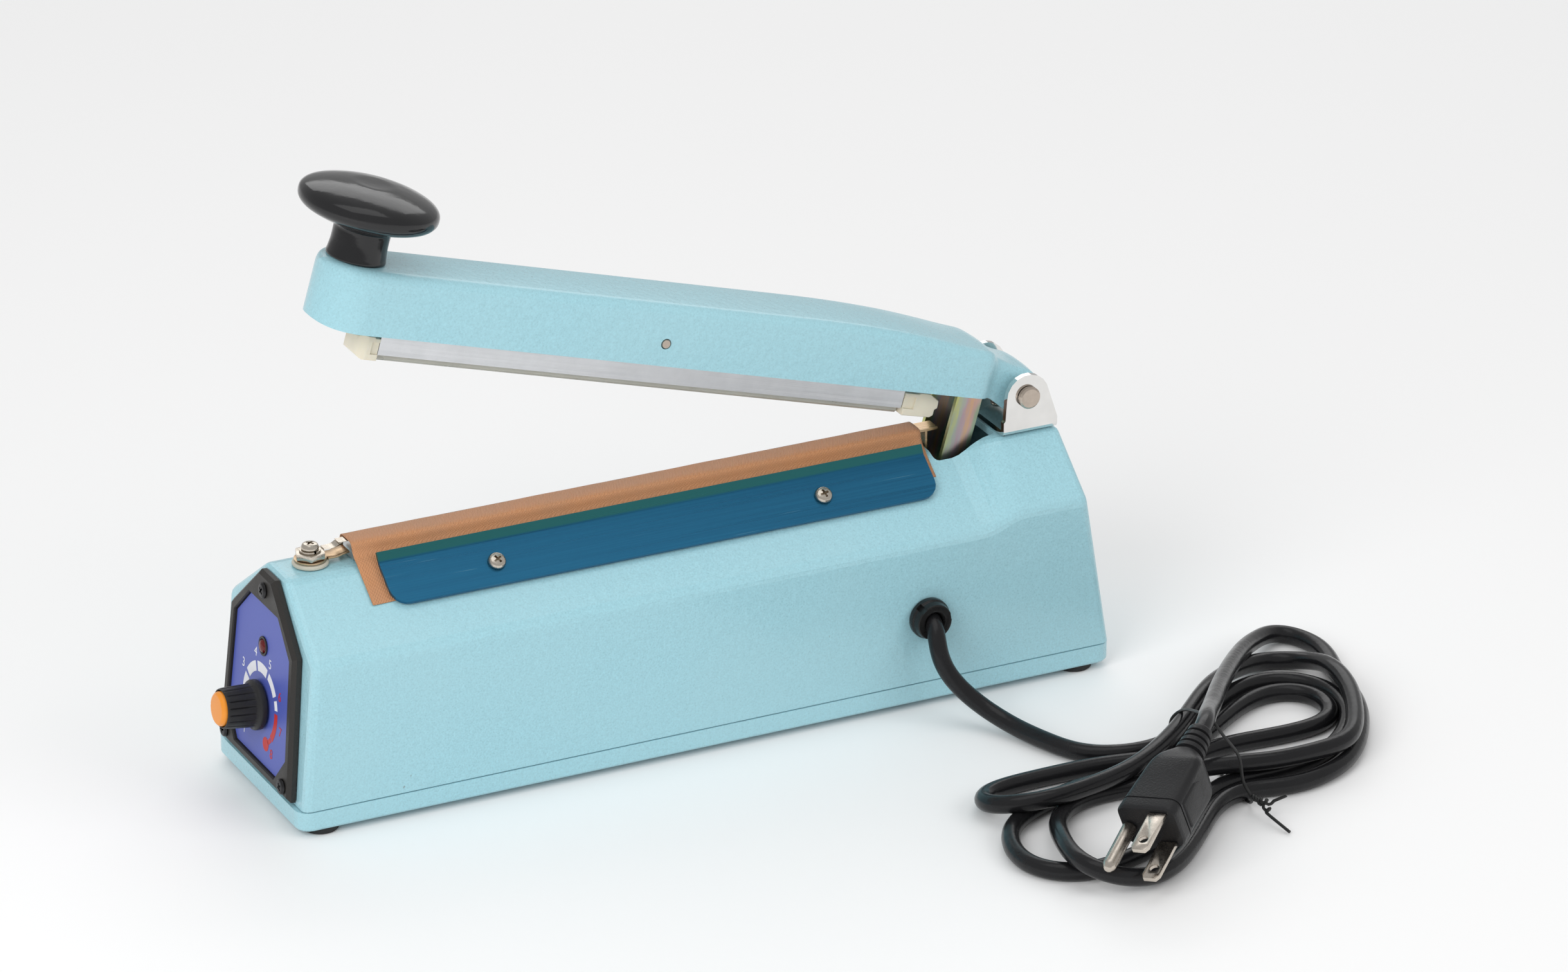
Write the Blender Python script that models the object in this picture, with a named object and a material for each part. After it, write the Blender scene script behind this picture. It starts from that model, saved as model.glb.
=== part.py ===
"""Hand impulse heat sealer, built in millimetres and written out in metres.

Local frame while building: x runs from the control panel (0) to the hinge end (LENGTH), y is 0 on the
centre line with the cord side at negative y, z is 0 under the feet. The last step moves everything so that
the centre of the sealer, cord left out, is at x = 0.
"""
import bpy
import bmesh
import math
from mathutils import Matrix, Vector

MM = 0.001
GAP = 0.3                 # clearance left between neighbouring pieces

# ---- housing -------------------------------------------------------------------------------------------
LENGTH = 300.0            # base plate, front to rear
BASE_HALF = 35.5          # base plate half width
BASE_Z = 2.5              # underside of the base plate
BASE_TOP = 9.2            # rim of the base plate
BASE_WALL = 2.0
BODY_HALF = 35.2          # housing half width below the shoulder
BODY_Z = BASE_TOP + GAP
SHOULDER_Z = 60.4
DECK_Z = 80.3
DECK_HALF = 8.5
TOWER_Z = 84.0            # raised rear end that carries the hinge
TOWER_HALF = 15.5
TOWER_SHOULDER_Z = 64.7
STEP_START = 250.0        # the deck rises to the tower between these two stations
STEP_END = 266.0
WALL = 2.5
FRONT_X0 = 0.7            # front face: x = FRONT_X0 + PANEL_LEAN * z
PANEL_LEAN = 0.09
REAR_BOTTOM = 299.2
REAR_SHOULDER = 289.8
REAR_TOP = 288.8
EDGE_ROUND = 2.5
SLOT_X = (243.5, 266.5)   # opening the lift lever passes through
SLOT_HALF = 11.5

FOOT_R = 6.0
FOOT_H = 2.3
BOSS_X = (10.0, 289.0)
BOSS_Y = 28.5
BOSS_R = 5.0
BOSS_TOP = 30.0
SCREW_R = 1.6             # shank of every 3 mm screw
HOLE_R = SCREW_R + GAP

# ---- control panel -------------------------------------------------------------------------------------
BEZEL_X0 = -2.7           # bezel front: x = BEZEL_X0 + PANEL_LEAN * z
BEZEL_T = 3.0
BEZEL_OUTER = ((5.4, 80.0), (26.4, 60.8), (28.3, 24.0), (28.8, 11.2))
BEZEL_INNER = ((12.0, 69.5), (22.8, 58.8), (24.6, 24.5), (16.5, 14.6))
PANEL_SCREWS = ((0.0, 74.6), (24.0, 15.2), (-24.0, 15.2))
LED_Z = 54.8
KNOB_Z = 34.1
KNOB_FACE = 14.4          # front of the timer knob cap, out from the bezel
KNOB_FLUTES = 24
SHAFT_HOLE_R = 4.4
LED_HOLE_R = 2.9

# ---- lower jaw and clamps ------------------------------------------------------------------------------
BAR_X = (34.0, 240.5)
BAR_HALF = 4.3
BAR_TOP = 86.2
CLOTH_X = (33.2, 241.6)
CLOTH_T = 0.5
CLAMP_X = (40.0, 239.5)
CLAMP_T = 1.2
CLAMP_LOW = 17.6          # lower edge of the clamp plate, down the slope from the deck edge
CLAMP_CORNER = 6.0
CLAMP_SCREW_X = (79.0, 198.5)
CLAMP_SCREW_S = 9.4
TERMINAL_X = 20.5         # screw that holds the front end of the heating element
TERMINAL_HOLE_R = 2.4

# ---- arm -----------------------------------------------------------------------------------------------
HINGE = Vector((276.0, 0.0, 97.6))
OPEN_ANGLE = math.radians(16.1)
ARM_HALF = 14.3
ARM_WALL = 2.4
ARM_BOTTOM = -3.3
ARM_TOP = 17.8
TONGUE_HALF = 11.0
TONGUE_R = 8.6
PIN_R = 3.2
PIN_HEAD_R = 3.9
EAR_OUT = 16.5
EAR_T = 2.0
EAR_R = 7.9
EAR_X = (267.0, 287.4)
EAR_TOP = 108.0           # the blank is taller than the finished ears
BRACKET_SCREWS = ((278.0, -8.0), (278.0, 8.0))
BRACKET_Z = TOWER_Z + GAP
JAW_PIVOT = (140.5, 4.4)  # along the arm from the hinge, and up
JAW_PIN_R = 1.6
CHANNEL_U = (41.0, 239.0)
CHANNEL_HALF = 6.0
CHANNEL_V = (-12.0, -5.5)
STRIP_BOTTOM = -14.5
KNOB_U = 252.2
STEM_R = 9.8
HEAD_R = 23.3
LEVER_U = (12.3, 22.0)
LEVER_V = (-34.0, 6.6)
LEVER_HALF = 8.6
LEVER_T = 1.6

# ---- inside --------------------------------------------------------------------------------------------
FLOOR = BASE_Z + BASE_WALL
LEDGE_Z = 38.0            # steel bracket that carries the return spring and the microswitch
SWITCH_TOP = 59.8
PLUNGER_R = 1.3
SPRING_X = 251.5
SPRING_Y = -2.0
SPRING_R = 4.2
SPRING_WIRE = 0.55
SPRING_TURNS = 6
SPRING_TOP = 67.5

# ---- cord ----------------------------------------------------------------------------------------------
CORD_D = 6.2
GLAND = Vector((229.0, -BODY_HALF, 33.5))
GLAND_OUT = 5.8           # gland face, out from the side wall
LEAD_ROUTE = ((229.0, -42.0, 33.5), (228.8, -43.8, 33.2), (227.3, -45.6, 31.0), (226.2, -46.7, 27.2),
              (227.1, -48.4, 22.3), (229.8, -50.2, 16.8), (233.5, -53.0, 12.3), (237.7, -57.5, 8.1),
              (241.8, -63.5, 5.2), (245.6, -72.5, 3.6), (248.6, -81.0, 3.5), (250.4, -85.8, 3.5))
HANK_LOW = ((252.4, -87.2), (246.0, -95.5), (228.0, -99.0), (210.0, -104.0), (202.0, -116.0),
            (199.5, -139.0), (200.5, -165.0), (206.0, -180.0), (220.0, -188.0), (238.0, -188.5),
            (254.0, -178.0), (272.0, -158.0), (290.0, -146.5), (318.0, -149.0), (338.0, -139.0),
            (352.0, -121.0), (364.0, -100.0), (371.0, -72.0), (371.0, -50.0), (360.0, -38.0),
            (342.0, -48.0), (322.0, -64.0), (300.0, -80.0), (280.0, -90.0), (266.0, -84.0))
HANK_HIGH = ((281.0, -95.5), (284.0, -126.0), (297.0, -139.0), (318.0, -141.0), (334.0, -131.0),
             (347.0, -115.0), (357.0, -95.0), (364.0, -71.0), (362.0, -52.0), (349.0, -51.0),
             (322.0, -70.0), (301.0, -85.0))
HANK_Z = (0.3, 6.6, 13.0)
PLUG_REAR = Vector((266.3, -155.5, 35.0))
PLUG_FACE = Vector((233.5, -181.7, 19.5))
PLUG_ROLL = math.radians(-10.3)
# the last strand climbs from the hank to the plug
RISER = ((320.0, -81.0, 10.5), (305.0, -101.0, 20.0), (294.5, -116.0, 25.0), (284.5, -130.4, 29.4),
         (276.0, -142.5, 33.6), (270.0, -152.6, 36.7), (266.6, -155.27, 35.14))
BLADE_SPREAD = 6.35
GROUND_DROP = 11.9
GROUND_SHIFT = -4.6       # the pins sit a little off the middle of the face

for obj in list(bpy.data.objects):
    bpy.data.objects.remove(obj, do_unlink=True)


# ---- materials -----------------------------------------------------------------------------------------
def principled(name, colour, metallic, roughness):
    material = bpy.data.materials.new(name)
    material.use_nodes = True
    shader = material.node_tree.nodes["Principled BSDF"]
    shader.inputs["Base Color"].default_value = (colour[0], colour[1], colour[2], 1.0)
    shader.inputs["Metallic"].default_value = metallic
    shader.inputs["Roughness"].default_value = roughness
    return material


PAINT = principled("paint", (0.39, 0.66, 0.72), 0.0, 0.4)
BLACK = principled("black_plastic", (0.03, 0.03, 0.03), 0.0, 0.4)
GLOSS_BLACK = principled("gloss_black", (0.012, 0.012, 0.012), 0.0, 0.15)
LABEL = principled("label", (0.05, 0.08, 0.42), 0.0, 0.5)
ORANGE = principled("orange_cap", (0.85, 0.32, 0.02), 0.0, 0.4)
LAMP = principled("lamp", (0.35, 0.01, 0.01), 0.0, 0.2)
CHROME = principled("chrome", (0.8, 0.8, 0.8), 1.0, 0.12)
NICKEL = principled("nickel", (0.66, 0.62, 0.56), 1.0, 0.28)
ZINC = principled("zinc", (0.72, 0.62, 0.42), 1.0, 0.35)
COPPER = principled("copper", (0.72, 0.45, 0.28), 1.0, 0.35)
ALUMINIUM = principled("aluminium", (0.78, 0.79, 0.8), 1.0, 0.35)
ANODISED = principled("anodised", (0.02, 0.16, 0.28), 1.0, 0.35)
CLOTH = principled("ptfe_cloth", (0.45, 0.22, 0.09), 0.0, 0.6)
SILICONE = principled("silicone", (0.7, 0.69, 0.62), 0.0, 0.5)
CREAM = principled("cream_plastic", (0.82, 0.78, 0.66), 0.0, 0.4)
RUBBER = principled("rubber", (0.02, 0.02, 0.02), 0.0, 0.8)
BOARD = principled("board", (0.05, 0.22, 0.1), 0.0, 0.5)
IRON = principled("laminations", (0.25, 0.24, 0.24), 1.0, 0.5)
ENAMEL = principled("enamelled_wire", (0.5, 0.2, 0.06), 0.3, 0.4)
CORD = principled("cord", (0.012, 0.012, 0.012), 0.0, 0.2)


# ---- mesh helpers --------------------------------------------------------------------------------------
def add_object(name, mesh, material, origin=(0.0, 0.0, 0.0), angle=35.0):
    """Makes the object from a mesh in millimetres of the local frame, with its origin at the given point."""
    origin = Vector(origin)
    mesh.transform(Matrix.Translation(-origin))
    mesh.transform(Matrix.Scale(MM, 4))
    mesh.shade_smooth()
    mesh.set_sharp_from_angle(angle=math.radians(angle))
    mesh.materials.append(material)
    obj = bpy.data.objects.new(name, mesh)
    obj.location = origin * MM
    bpy.context.scene.collection.objects.link(obj)
    return obj


def mesh_from(name, verts, faces, matrix=None):
    """A closed mesh whose faces all look outward."""
    mesh = bpy.data.meshes.new(name)
    mesh.from_pydata([tuple(v) for v in verts], [], faces)
    if matrix is not None:
        mesh.transform(matrix)
    bm = bmesh.new()
    bm.from_mesh(mesh)
    bmesh.ops.recalc_face_normals(bm, faces=bm.faces[:])
    bm.to_mesh(mesh)
    bm.free()
    return mesh


def rings_mesh(name, rings, matrix=None, closed=False):
    """Joins rings of equal length; the ends are capped, or joined to each other when closed."""
    count = len(rings[0])
    verts = [point for ring in rings for point in ring]
    faces = []
    pairs = len(rings) if closed else len(rings) - 1
    for k in range(pairs):
        low = k * count
        high = ((k + 1) % len(rings)) * count
        for i in range(count):
            j = (i + 1) % count
            faces.append((low + i, low + j, high + j, high + i))
    if not closed:
        faces.append(tuple(range(count))[::-1])
        faces.append(tuple(range((len(rings) - 1) * count, len(rings) * count)))
    return mesh_from(name, verts, faces, matrix)


def prism_mesh(name, outline, axis, low, high, matrix=None):
    """Extrudes an outline along an axis; the outline holds the other two coordinates in x, y, z order."""
    def place(a, b, along):
        if axis == "x":
            return (along, a, b)
        if axis == "y":
            return (a, along, b)
        return (a, b, along)
    rings = [[place(a, b, along) for a, b in outline] for along in (low, high)]
    return rings_mesh(name, rings, matrix)


def box_mesh(name, x, y, z, matrix=None):
    return prism_mesh(name, ((x[0], y[0]), (x[1], y[0]), (x[1], y[1]), (x[0], y[1])), "z", z[0], z[1], matrix)


def circle(radius, height, segments):
    step = 2.0 * math.pi / segments
    return [(radius * math.cos(step * i), radius * math.sin(step * i), height) for i in range(segments)]


def turned_mesh(name, profile, matrix, segments=24, ring=False):
    """Turns a (radius, height) profile about the local z axis; ring closes the profile on itself."""
    rings = [circle(radius, height, segments) for radius, height in profile]
    return rings_mesh(name, rings, matrix, closed=ring)


def axis_frame(origin, direction):
    """A frame at origin whose z axis looks along direction."""
    return Matrix.Translation(Vector(origin)) @ Vector(direction).to_track_quat("Z", "Y").to_matrix().to_4x4()


def bevel(mesh, chosen, width, segments):
    """Rounds the edges for which chosen(edge) is true."""
    bm = bmesh.new()
    bm.from_mesh(mesh)
    edges = [edge for edge in bm.edges if chosen(edge)]
    bmesh.ops.bevel(bm, geom=edges, offset=width, segments=segments, profile=0.5, affect="EDGES",
                    clamp_overlap=True)
    bmesh.ops.recalc_face_normals(bm, faces=bm.faces[:])
    bm.to_mesh(mesh)
    bm.free()
    return mesh


def sharp_edges(limit=25.0):
    return lambda edge: len(edge.link_faces) == 2 and edge.calc_face_angle(0.0) > math.radians(limit)


def cutter(name, mesh, host, operation="DIFFERENCE"):
    """Adds a hidden tool object and the boolean on its host that uses it."""
    tool = add_object(name, mesh, PAINT)
    tool.hide_render = True
    tool.display_type = "WIRE"
    modifier = host.modifiers.new(name, "BOOLEAN")
    modifier.operation = operation
    modifier.solver = "EXACT"
    modifier.object = tool
    return tool


def joined(name, meshes):
    """One mesh that holds several separate closed shells, used only for cutters."""
    bm = bmesh.new()
    for mesh in meshes:
        bm.from_mesh(mesh)
    result = bpy.data.meshes.new(name)
    bm.to_mesh(result)
    bm.free()
    return result


def rod_mesh(name, start, end, radius, segments=16):
    """A plain cylinder between two points."""
    start = Vector(start)
    end = Vector(end)
    return turned_mesh(name, ((radius, 0.0), (radius, (end - start).length)),
                       axis_frame(start, end - start), segments)


def rounded_rect(x, y, radius, steps=4):
    points = []
    corners = ((x[1] - radius, y[0] + radius, -90.0), (x[1] - radius, y[1] - radius, 0.0),
               (x[0] + radius, y[1] - radius, 90.0), (x[0] + radius, y[0] + radius, 180.0))
    for cx, cy, start in corners:
        for k in range(steps + 1):
            angle = math.radians(start + 90.0 * k / steps)
            points.append((cx + radius * math.cos(angle), cy + radius * math.sin(angle)))
    return points


def pan_screw(name, head_at, direction, head_r, head_h, length, material, shank_r=SCREW_R):
    """A screw whose head sits at head_at and whose shank runs back against direction."""
    profile = ((shank_r * 0.6, -length), (shank_r, -length + 0.6), (shank_r, 0.0), (head_r, 0.0),
               (head_r, head_h * 0.4), (head_r * 0.86, head_h * 0.75), (head_r * 0.5, head_h))
    mesh = turned_mesh(name, profile, axis_frame(head_at, direction), 16)
    return add_object(name, mesh, material)


# ---- base plate, feet and their screws -----------------------------------------------------------------
outer_low = rounded_rect((0.6, LENGTH - 0.6), (-BASE_HALF + 0.6, BASE_HALF - 0.6), 4.4)
outer_top = rounded_rect((0.0, LENGTH), (-BASE_HALF, BASE_HALF), 5.0)
inner = rounded_rect((BASE_WALL, LENGTH - BASE_WALL), (-BASE_HALF + BASE_WALL, BASE_HALF - BASE_WALL), 3.0)
tray = [[(a, b, z) for a, b in ring] for ring, z in
        ((outer_low, BASE_Z), (outer_top, BASE_Z + 0.8), (outer_top, BASE_TOP), (inner, BASE_TOP),
         (inner, FLOOR))]
base_plate = add_object("base_plate", rings_mesh("base_plate", tray), PAINT)
corners = [(x, y) for x in BOSS_X for y in (-BOSS_Y, BOSS_Y)]
cutter("base_plate_holes", joined("base_plate_holes", [
    rod_mesh("hole", (x, y, 0.0), (x, y, FLOOR + 2.0), HOLE_R, 12) for x, y in corners]), base_plate)
for index, (x, y) in enumerate(corners):
    foot_profile = ((FOOT_R - 0.5, 0.0), (FOOT_R, 0.5), (FOOT_R, FOOT_H), (HOLE_R, FOOT_H),
                    (HOLE_R, 1.3), (4.0, 1.3), (4.0, 0.0))
    foot = turned_mesh("foot", foot_profile, Matrix.Translation((x, y, 0.0)), 24, ring=True)
    add_object("rubber_foot_%d" % (index + 1), foot, RUBBER)
    screw_profile = ((3.4, 0.3), (3.4, 1.0), (SCREW_R, 1.0), (SCREW_R, 13.0), (SCREW_R * 0.6, 13.8))
    screw = turned_mesh("base_screw", screw_profile, Matrix.Translation((x, y, 0.0)), 16)
    add_object("base_screw_%d" % (index + 1), screw, NICKEL)


# ---- housing -------------------------------------------------------------------------------------------
def housing_ring(xs, half, shoulder_z, deck_half, deck_z, bottom_z):
    """A six-point section; xs holds the station of the bottom, the shoulder and the deck."""
    right = [(xs[0], -half, bottom_z), (xs[1], -half, shoulder_z), (xs[2], -deck_half, deck_z)]
    left = [(x, -y, z) for x, y, z in reversed(right)]
    return right + left


def housing_rings(inset, bottom_z):
    def front(z):
        return FRONT_X0 + PANEL_LEAN * z + inset
    half = BODY_HALF - inset
    low_sh = SHOULDER_Z - inset * 0.3
    high_sh = TOWER_SHOULDER_Z - inset * 0.3
    deck_half = DECK_HALF - inset * 0.3
    tower_half = TOWER_HALF - inset * 0.5
    rings = [housing_ring((front(bottom_z), front(low_sh), front(DECK_Z - inset)), half, low_sh, deck_half,
                          DECK_Z - inset, bottom_z)]
    steps = 6
    for k in range(steps + 1):
        part = k / steps
        x = STEP_START + (STEP_END - STEP_START) * part
        blend = part * part * (3.0 - 2.0 * part)
        rings.append(housing_ring((x, x, x), half, low_sh + (high_sh - low_sh) * blend,
                                  deck_half + (tower_half - deck_half) * blend,
                                  DECK_Z - inset + (TOWER_Z - DECK_Z) * blend, bottom_z))
    rear_slope = (REAR_SHOULDER - REAR_BOTTOM) / (TOWER_SHOULDER_Z - BODY_Z)
    rear_bottom = REAR_BOTTOM + rear_slope * (bottom_z - BODY_Z) - inset
    rear_stations = (rear_bottom, REAR_SHOULDER - inset, REAR_TOP - inset)
    rings.append(housing_ring(rear_stations, half, high_sh, tower_half, TOWER_Z - inset, bottom_z))
    return rings


def housing_edge(edge):
    """The long corners and the outlines of the two ends, but not the open bottom."""
    a, b = (vert.co for vert in edge.verts)
    if max(a.z, b.z) < BODY_Z + 1.0:
        return False
    along = abs(a.x - b.x) > 2.0 and abs(a.z - b.z) < 3.0 and min(a.z, b.z) > BODY_Z + 1.0
    at_front = max(a.x, b.x) < 12.0
    at_rear = min(a.x, b.x) > REAR_TOP - 1.0
    return along or at_front or at_rear


shell = rings_mesh("housing", housing_rings(0.0, BODY_Z))
bevel(shell, housing_edge, EDGE_ROUND, 3)
housing = add_object("housing", shell, PAINT, angle=22.0)
cutter("housing_cavity", rings_mesh("housing_cavity", housing_rings(WALL, BODY_Z - 4.0)), housing)
bosses = [rod_mesh("boss", (x, y, BODY_Z - 2.0), (x, y, BOSS_TOP), BOSS_R, 16) for x, y in corners]
cutter("housing_bosses", joined("housing_bosses", bosses), housing, "UNION")
slot = rounded_rect(SLOT_X, (-SLOT_HALF, SLOT_HALF), 2.0, 3)
cutter("housing_slot", prism_mesh("housing_slot", slot, "z", 68.0, 96.0), housing)

PANEL_NORMAL = Vector((-1.0, 0.0, PANEL_LEAN)).normalized()
PANEL_UP = Vector((PANEL_LEAN, 0.0, 1.0)).normalized()
PANEL = Matrix((
    (0.0, PANEL_UP.x, PANEL_NORMAL.x, BEZEL_X0),
    (-1.0, 0.0, 0.0, 0.0),
    (0.0, PANEL_UP.z, PANEL_NORMAL.z, 0.0),
    (0.0, 0.0, 0.0, 1.0)))

SLOPE = Vector((0.0, -(BODY_HALF - DECK_HALF), SHOULDER_Z - DECK_Z)).normalized()
SLOPE_OUT = Vector((0.0, SLOPE.z, -SLOPE.y))
DECK_EDGE = Vector((0.0, -DECK_HALF, DECK_Z))


def on_slope(x, down, out, side):
    """A point over the sloping face: down from the deck edge, out from the face; side -1 is the cord side."""
    point = DECK_EDGE + SLOPE * down + SLOPE_OUT * out
    return Vector((x, -side * point.y, point.z))


def slope_normal(side):
    return Vector((0.0, -side * SLOPE_OUT.y, SLOPE_OUT.z))


holes = []
for across, up in PANEL_SCREWS:
    holes.append(turned_mesh("hole", ((HOLE_R, -12.0), (HOLE_R, 2.0)),
                             PANEL @ Matrix.Translation((across, up, 0.0)), 12))
holes.append(turned_mesh("hole", ((SHAFT_HOLE_R, -14.0), (SHAFT_HOLE_R, 2.0)),
                         PANEL @ Matrix.Translation((0.0, KNOB_Z, 0.0)), 20))
holes.append(turned_mesh("hole", ((LED_HOLE_R, -14.0), (LED_HOLE_R, 2.0)),
                         PANEL @ Matrix.Translation((0.0, LED_Z, 0.0)), 16))
holes.append(rod_mesh("hole", (TERMINAL_X, 0.0, 70.0), (TERMINAL_X, 0.0, 90.0), TERMINAL_HOLE_R - 0.1, 14))
for x, y in BRACKET_SCREWS:
    holes.append(rod_mesh("hole", (x, y, 70.0), (x, y, 90.0), HOLE_R, 12))
for x in CLAMP_SCREW_X:
    for side in (-1, 1):
        holes.append(rod_mesh("hole", on_slope(x, CLAMP_SCREW_S, -8.0, side),
                              on_slope(x, CLAMP_SCREW_S, 8.0, side), HOLE_R, 12))
holes.append(rod_mesh("hole", GLAND + Vector((0.0, -6.0, 0.0)), GLAND + Vector((0.0, 8.0, 0.0)), 5.5, 20))
cutter("housing_holes", joined("housing_holes", holes), housing)
boss_holes = [rod_mesh("hole", (x, y, 0.0), (x, y, 16.0), HOLE_R, 12) for x, y in corners]
cutter("housing_boss_holes", joined("housing_boss_holes", boss_holes), housing)


# ---- control panel -------------------------------------------------------------------------------------
def mirrored_outline(half_outline, height, shrink=0.0):
    """The full outline of a half one; shrink moves every side inward."""
    right = [Vector((a, b)) for a, b in half_outline]
    points = right + [Vector((-p.x, p.y)) for p in reversed(right)]
    count = len(points)
    moved = []
    for k, point in enumerate(points):
        before = (point - points[k - 1]).normalized()
        after = (points[(k + 1) % count] - point).normalized()
        inward_a = Vector((before.y, -before.x))
        inward_b = Vector((after.y, -after.x))
        corner = inward_a + inward_b
        corner = corner * (2.0 / corner.length_squared)
        moved.append(point + corner * shrink)
    return [(p.x, p.y, height) for p in moved]


bezel_rings = [mirrored_outline(BEZEL_OUTER, -BEZEL_T), mirrored_outline(BEZEL_OUTER, -1.3),
               mirrored_outline(BEZEL_OUTER, 0.0, 1.3), mirrored_outline(BEZEL_INNER, 0.0, -0.3),
               mirrored_outline(BEZEL_INNER, -0.5), mirrored_outline(BEZEL_INNER, -BEZEL_T)]
bezel = add_object("panel_bezel", rings_mesh("panel_bezel", bezel_rings, PANEL, closed=True), BLACK)
cutter("bezel_holes", joined("bezel_holes", [
    turned_mesh("hole", ((HOLE_R, -6.0), (HOLE_R, 3.0)), PANEL @ Matrix.Translation((a, b, 0.0)), 12)
    for a, b in PANEL_SCREWS]), bezel)
plate_rings = [mirrored_outline(BEZEL_INNER, -BEZEL_T + 0.2, GAP), mirrored_outline(BEZEL_INNER, -1.2, GAP)]
panel_plate = add_object("panel_plate", rings_mesh("panel_plate", plate_rings, PANEL), LABEL)
cutter("plate_holes", joined("plate_holes", [
    turned_mesh("hole", ((SHAFT_HOLE_R, -6.0), (SHAFT_HOLE_R, 3.0)),
                PANEL @ Matrix.Translation((0.0, KNOB_Z, 0.0)), 20),
    turned_mesh("hole", ((LED_HOLE_R, -6.0), (LED_HOLE_R, 3.0)),
                PANEL @ Matrix.Translation((0.0, LED_Z, 0.0)), 16)]), panel_plate)
for index, (across, up) in enumerate(PANEL_SCREWS):
    head_at = PANEL @ Vector((across, up, 0.1))
    pan_screw("panel_screw_%d" % (index + 1), head_at, PANEL_NORMAL, 2.7, 1.2, 8.0, BLACK, 1.5)
lamp_profile = ((2.4, -11.0), (2.4, -0.4), (2.0, 0.9), (1.1, 1.7), (0.3, 2.0))
add_object("indicator_lamp", turned_mesh("indicator_lamp", lamp_profile,
                                         PANEL @ Matrix.Translation((0.0, LED_Z, 0.0)), 16), LAMP)

knob_frame = PANEL @ Matrix.Translation((0.0, KNOB_Z, 0.0))
knob_origin = knob_frame.translation


def fluted_ring(radius, height, depth):
    points = []
    count = KNOB_FLUTES * 2
    for k in range(count):
        angle = 2.0 * math.pi * k / count
        r = radius - (depth if k % 2 else 0.0)
        points.append((r * math.cos(angle), r * math.sin(angle), height))
    return points


knob_rings = [fluted_ring(3.4, 8.0, 0.0), fluted_ring(3.4, -0.7, 0.0), fluted_ring(7.9, -0.7, 0.0),
              fluted_ring(8.4, -0.2, 0.0), fluted_ring(8.4, 1.4, 0.0), fluted_ring(7.7, 2.0, 0.0),
              fluted_ring(7.3, 2.6, 0.4), fluted_ring(6.75, 12.0, 0.4), fluted_ring(6.4, 12.8, 0.0),
              fluted_ring(6.05, 12.8, 0.0), fluted_ring(6.05, 10.6, 0.0)]
add_object("timer_knob", rings_mesh("timer_knob", knob_rings, knob_frame), BLACK, knob_origin, 30.0)
cap_profile = ((5.0, 10.9), (5.75, 10.9), (5.75, 13.2), (5.2, 14.0), (4.2, KNOB_FACE))
add_object("timer_knob_cap", turned_mesh("timer_knob_cap", cap_profile, knob_frame, 32), ORANGE, knob_origin)
shaft_profile = ((3.1, -16.5), (3.1, 7.6))
add_object("timer_shaft", turned_mesh("timer_shaft", shaft_profile, knob_frame, 20), NICKEL, knob_origin)
pot_profile = ((8.5, -17.5), (8.5, -9.0), (4.1, -9.0), (4.1, -3.3), (3.4, -3.3), (3.4, -17.0))
add_object("timer_pot", turned_mesh("timer_pot", pot_profile, knob_frame, 24), ALUMINIUM)
add_object("timer_board", box_mesh("timer_board", (19.5, 21.1), (-23.0, 23.0), (14.0, 62.0)), BOARD)

# ---- front terminal ------------------------------------------------------------------------------------
top = DECK_Z + GAP
terminal_frame = Matrix.Translation((TERMINAL_X, 0.0, 0.0))
insulator_profile = ((TERMINAL_HOLE_R, top), (6.1, top), (6.1, top + 0.9), (5.7, top + 1.3),
                     (TERMINAL_HOLE_R, top + 1.3))
insulator = turned_mesh("terminal_insulator", insulator_profile, terminal_frame, 24, ring=True)
add_object("terminal_insulator", insulator, SILICONE)
lug = [(TERMINAL_X + 4.6, -4.2), (TERMINAL_X + 8.0, -2.8), (BAR_X[0] - 0.6, -2.8), (BAR_X[0] - 0.6, 2.8),
       (TERMINAL_X + 8.0, 2.8), (TERMINAL_X + 4.6, 4.2)]
for k in range(9):
    angle = math.radians(60.0 + 240.0 * k / 8)
    lug.append((TERMINAL_X + 5.4 * math.cos(angle), 5.4 * math.sin(angle)))
lug_low = top + 1.3 + GAP
element_lug = add_object("element_lug", prism_mesh("element_lug", lug, "z", lug_low, lug_low + 0.6), COPPER)
lug_hole = rod_mesh("lug_hole", (TERMINAL_X, 0.0, 80.0), (TERMINAL_X, 0.0, 90.0), TERMINAL_HOLE_R, 14)
cutter("lug_hole", lug_hole, element_lug)
nut_low = lug_low + 0.6 + GAP
nut_rings = []
for radius, height in ((5.0, nut_low), (5.3, nut_low + 0.3), (5.3, nut_low + 1.6), (4.8, nut_low + 2.0),
                       (TERMINAL_HOLE_R, nut_low + 2.0), (TERMINAL_HOLE_R, nut_low)):
    ring = []
    for k in range(24):
        angle = 2.0 * math.pi * (k + 0.5) / 24
        if radius > TERMINAL_HOLE_R:
            local = (angle % (math.pi / 3.0)) - math.pi / 6.0
            r = radius * math.cos(math.pi / 6.0) / math.cos(local)
        else:
            r = radius
        ring.append((r * math.cos(angle), r * math.sin(angle), height))
    nut_rings.append(ring)
add_object("terminal_nut", rings_mesh("terminal_nut", nut_rings, terminal_frame, closed=True), NICKEL)
pan_screw("terminal_screw", (TERMINAL_X, 0.0, nut_low + 2.3), (0.0, 0.0, 1.0), 3.0, 2.6, 16.0, NICKEL, 2.0)

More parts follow.
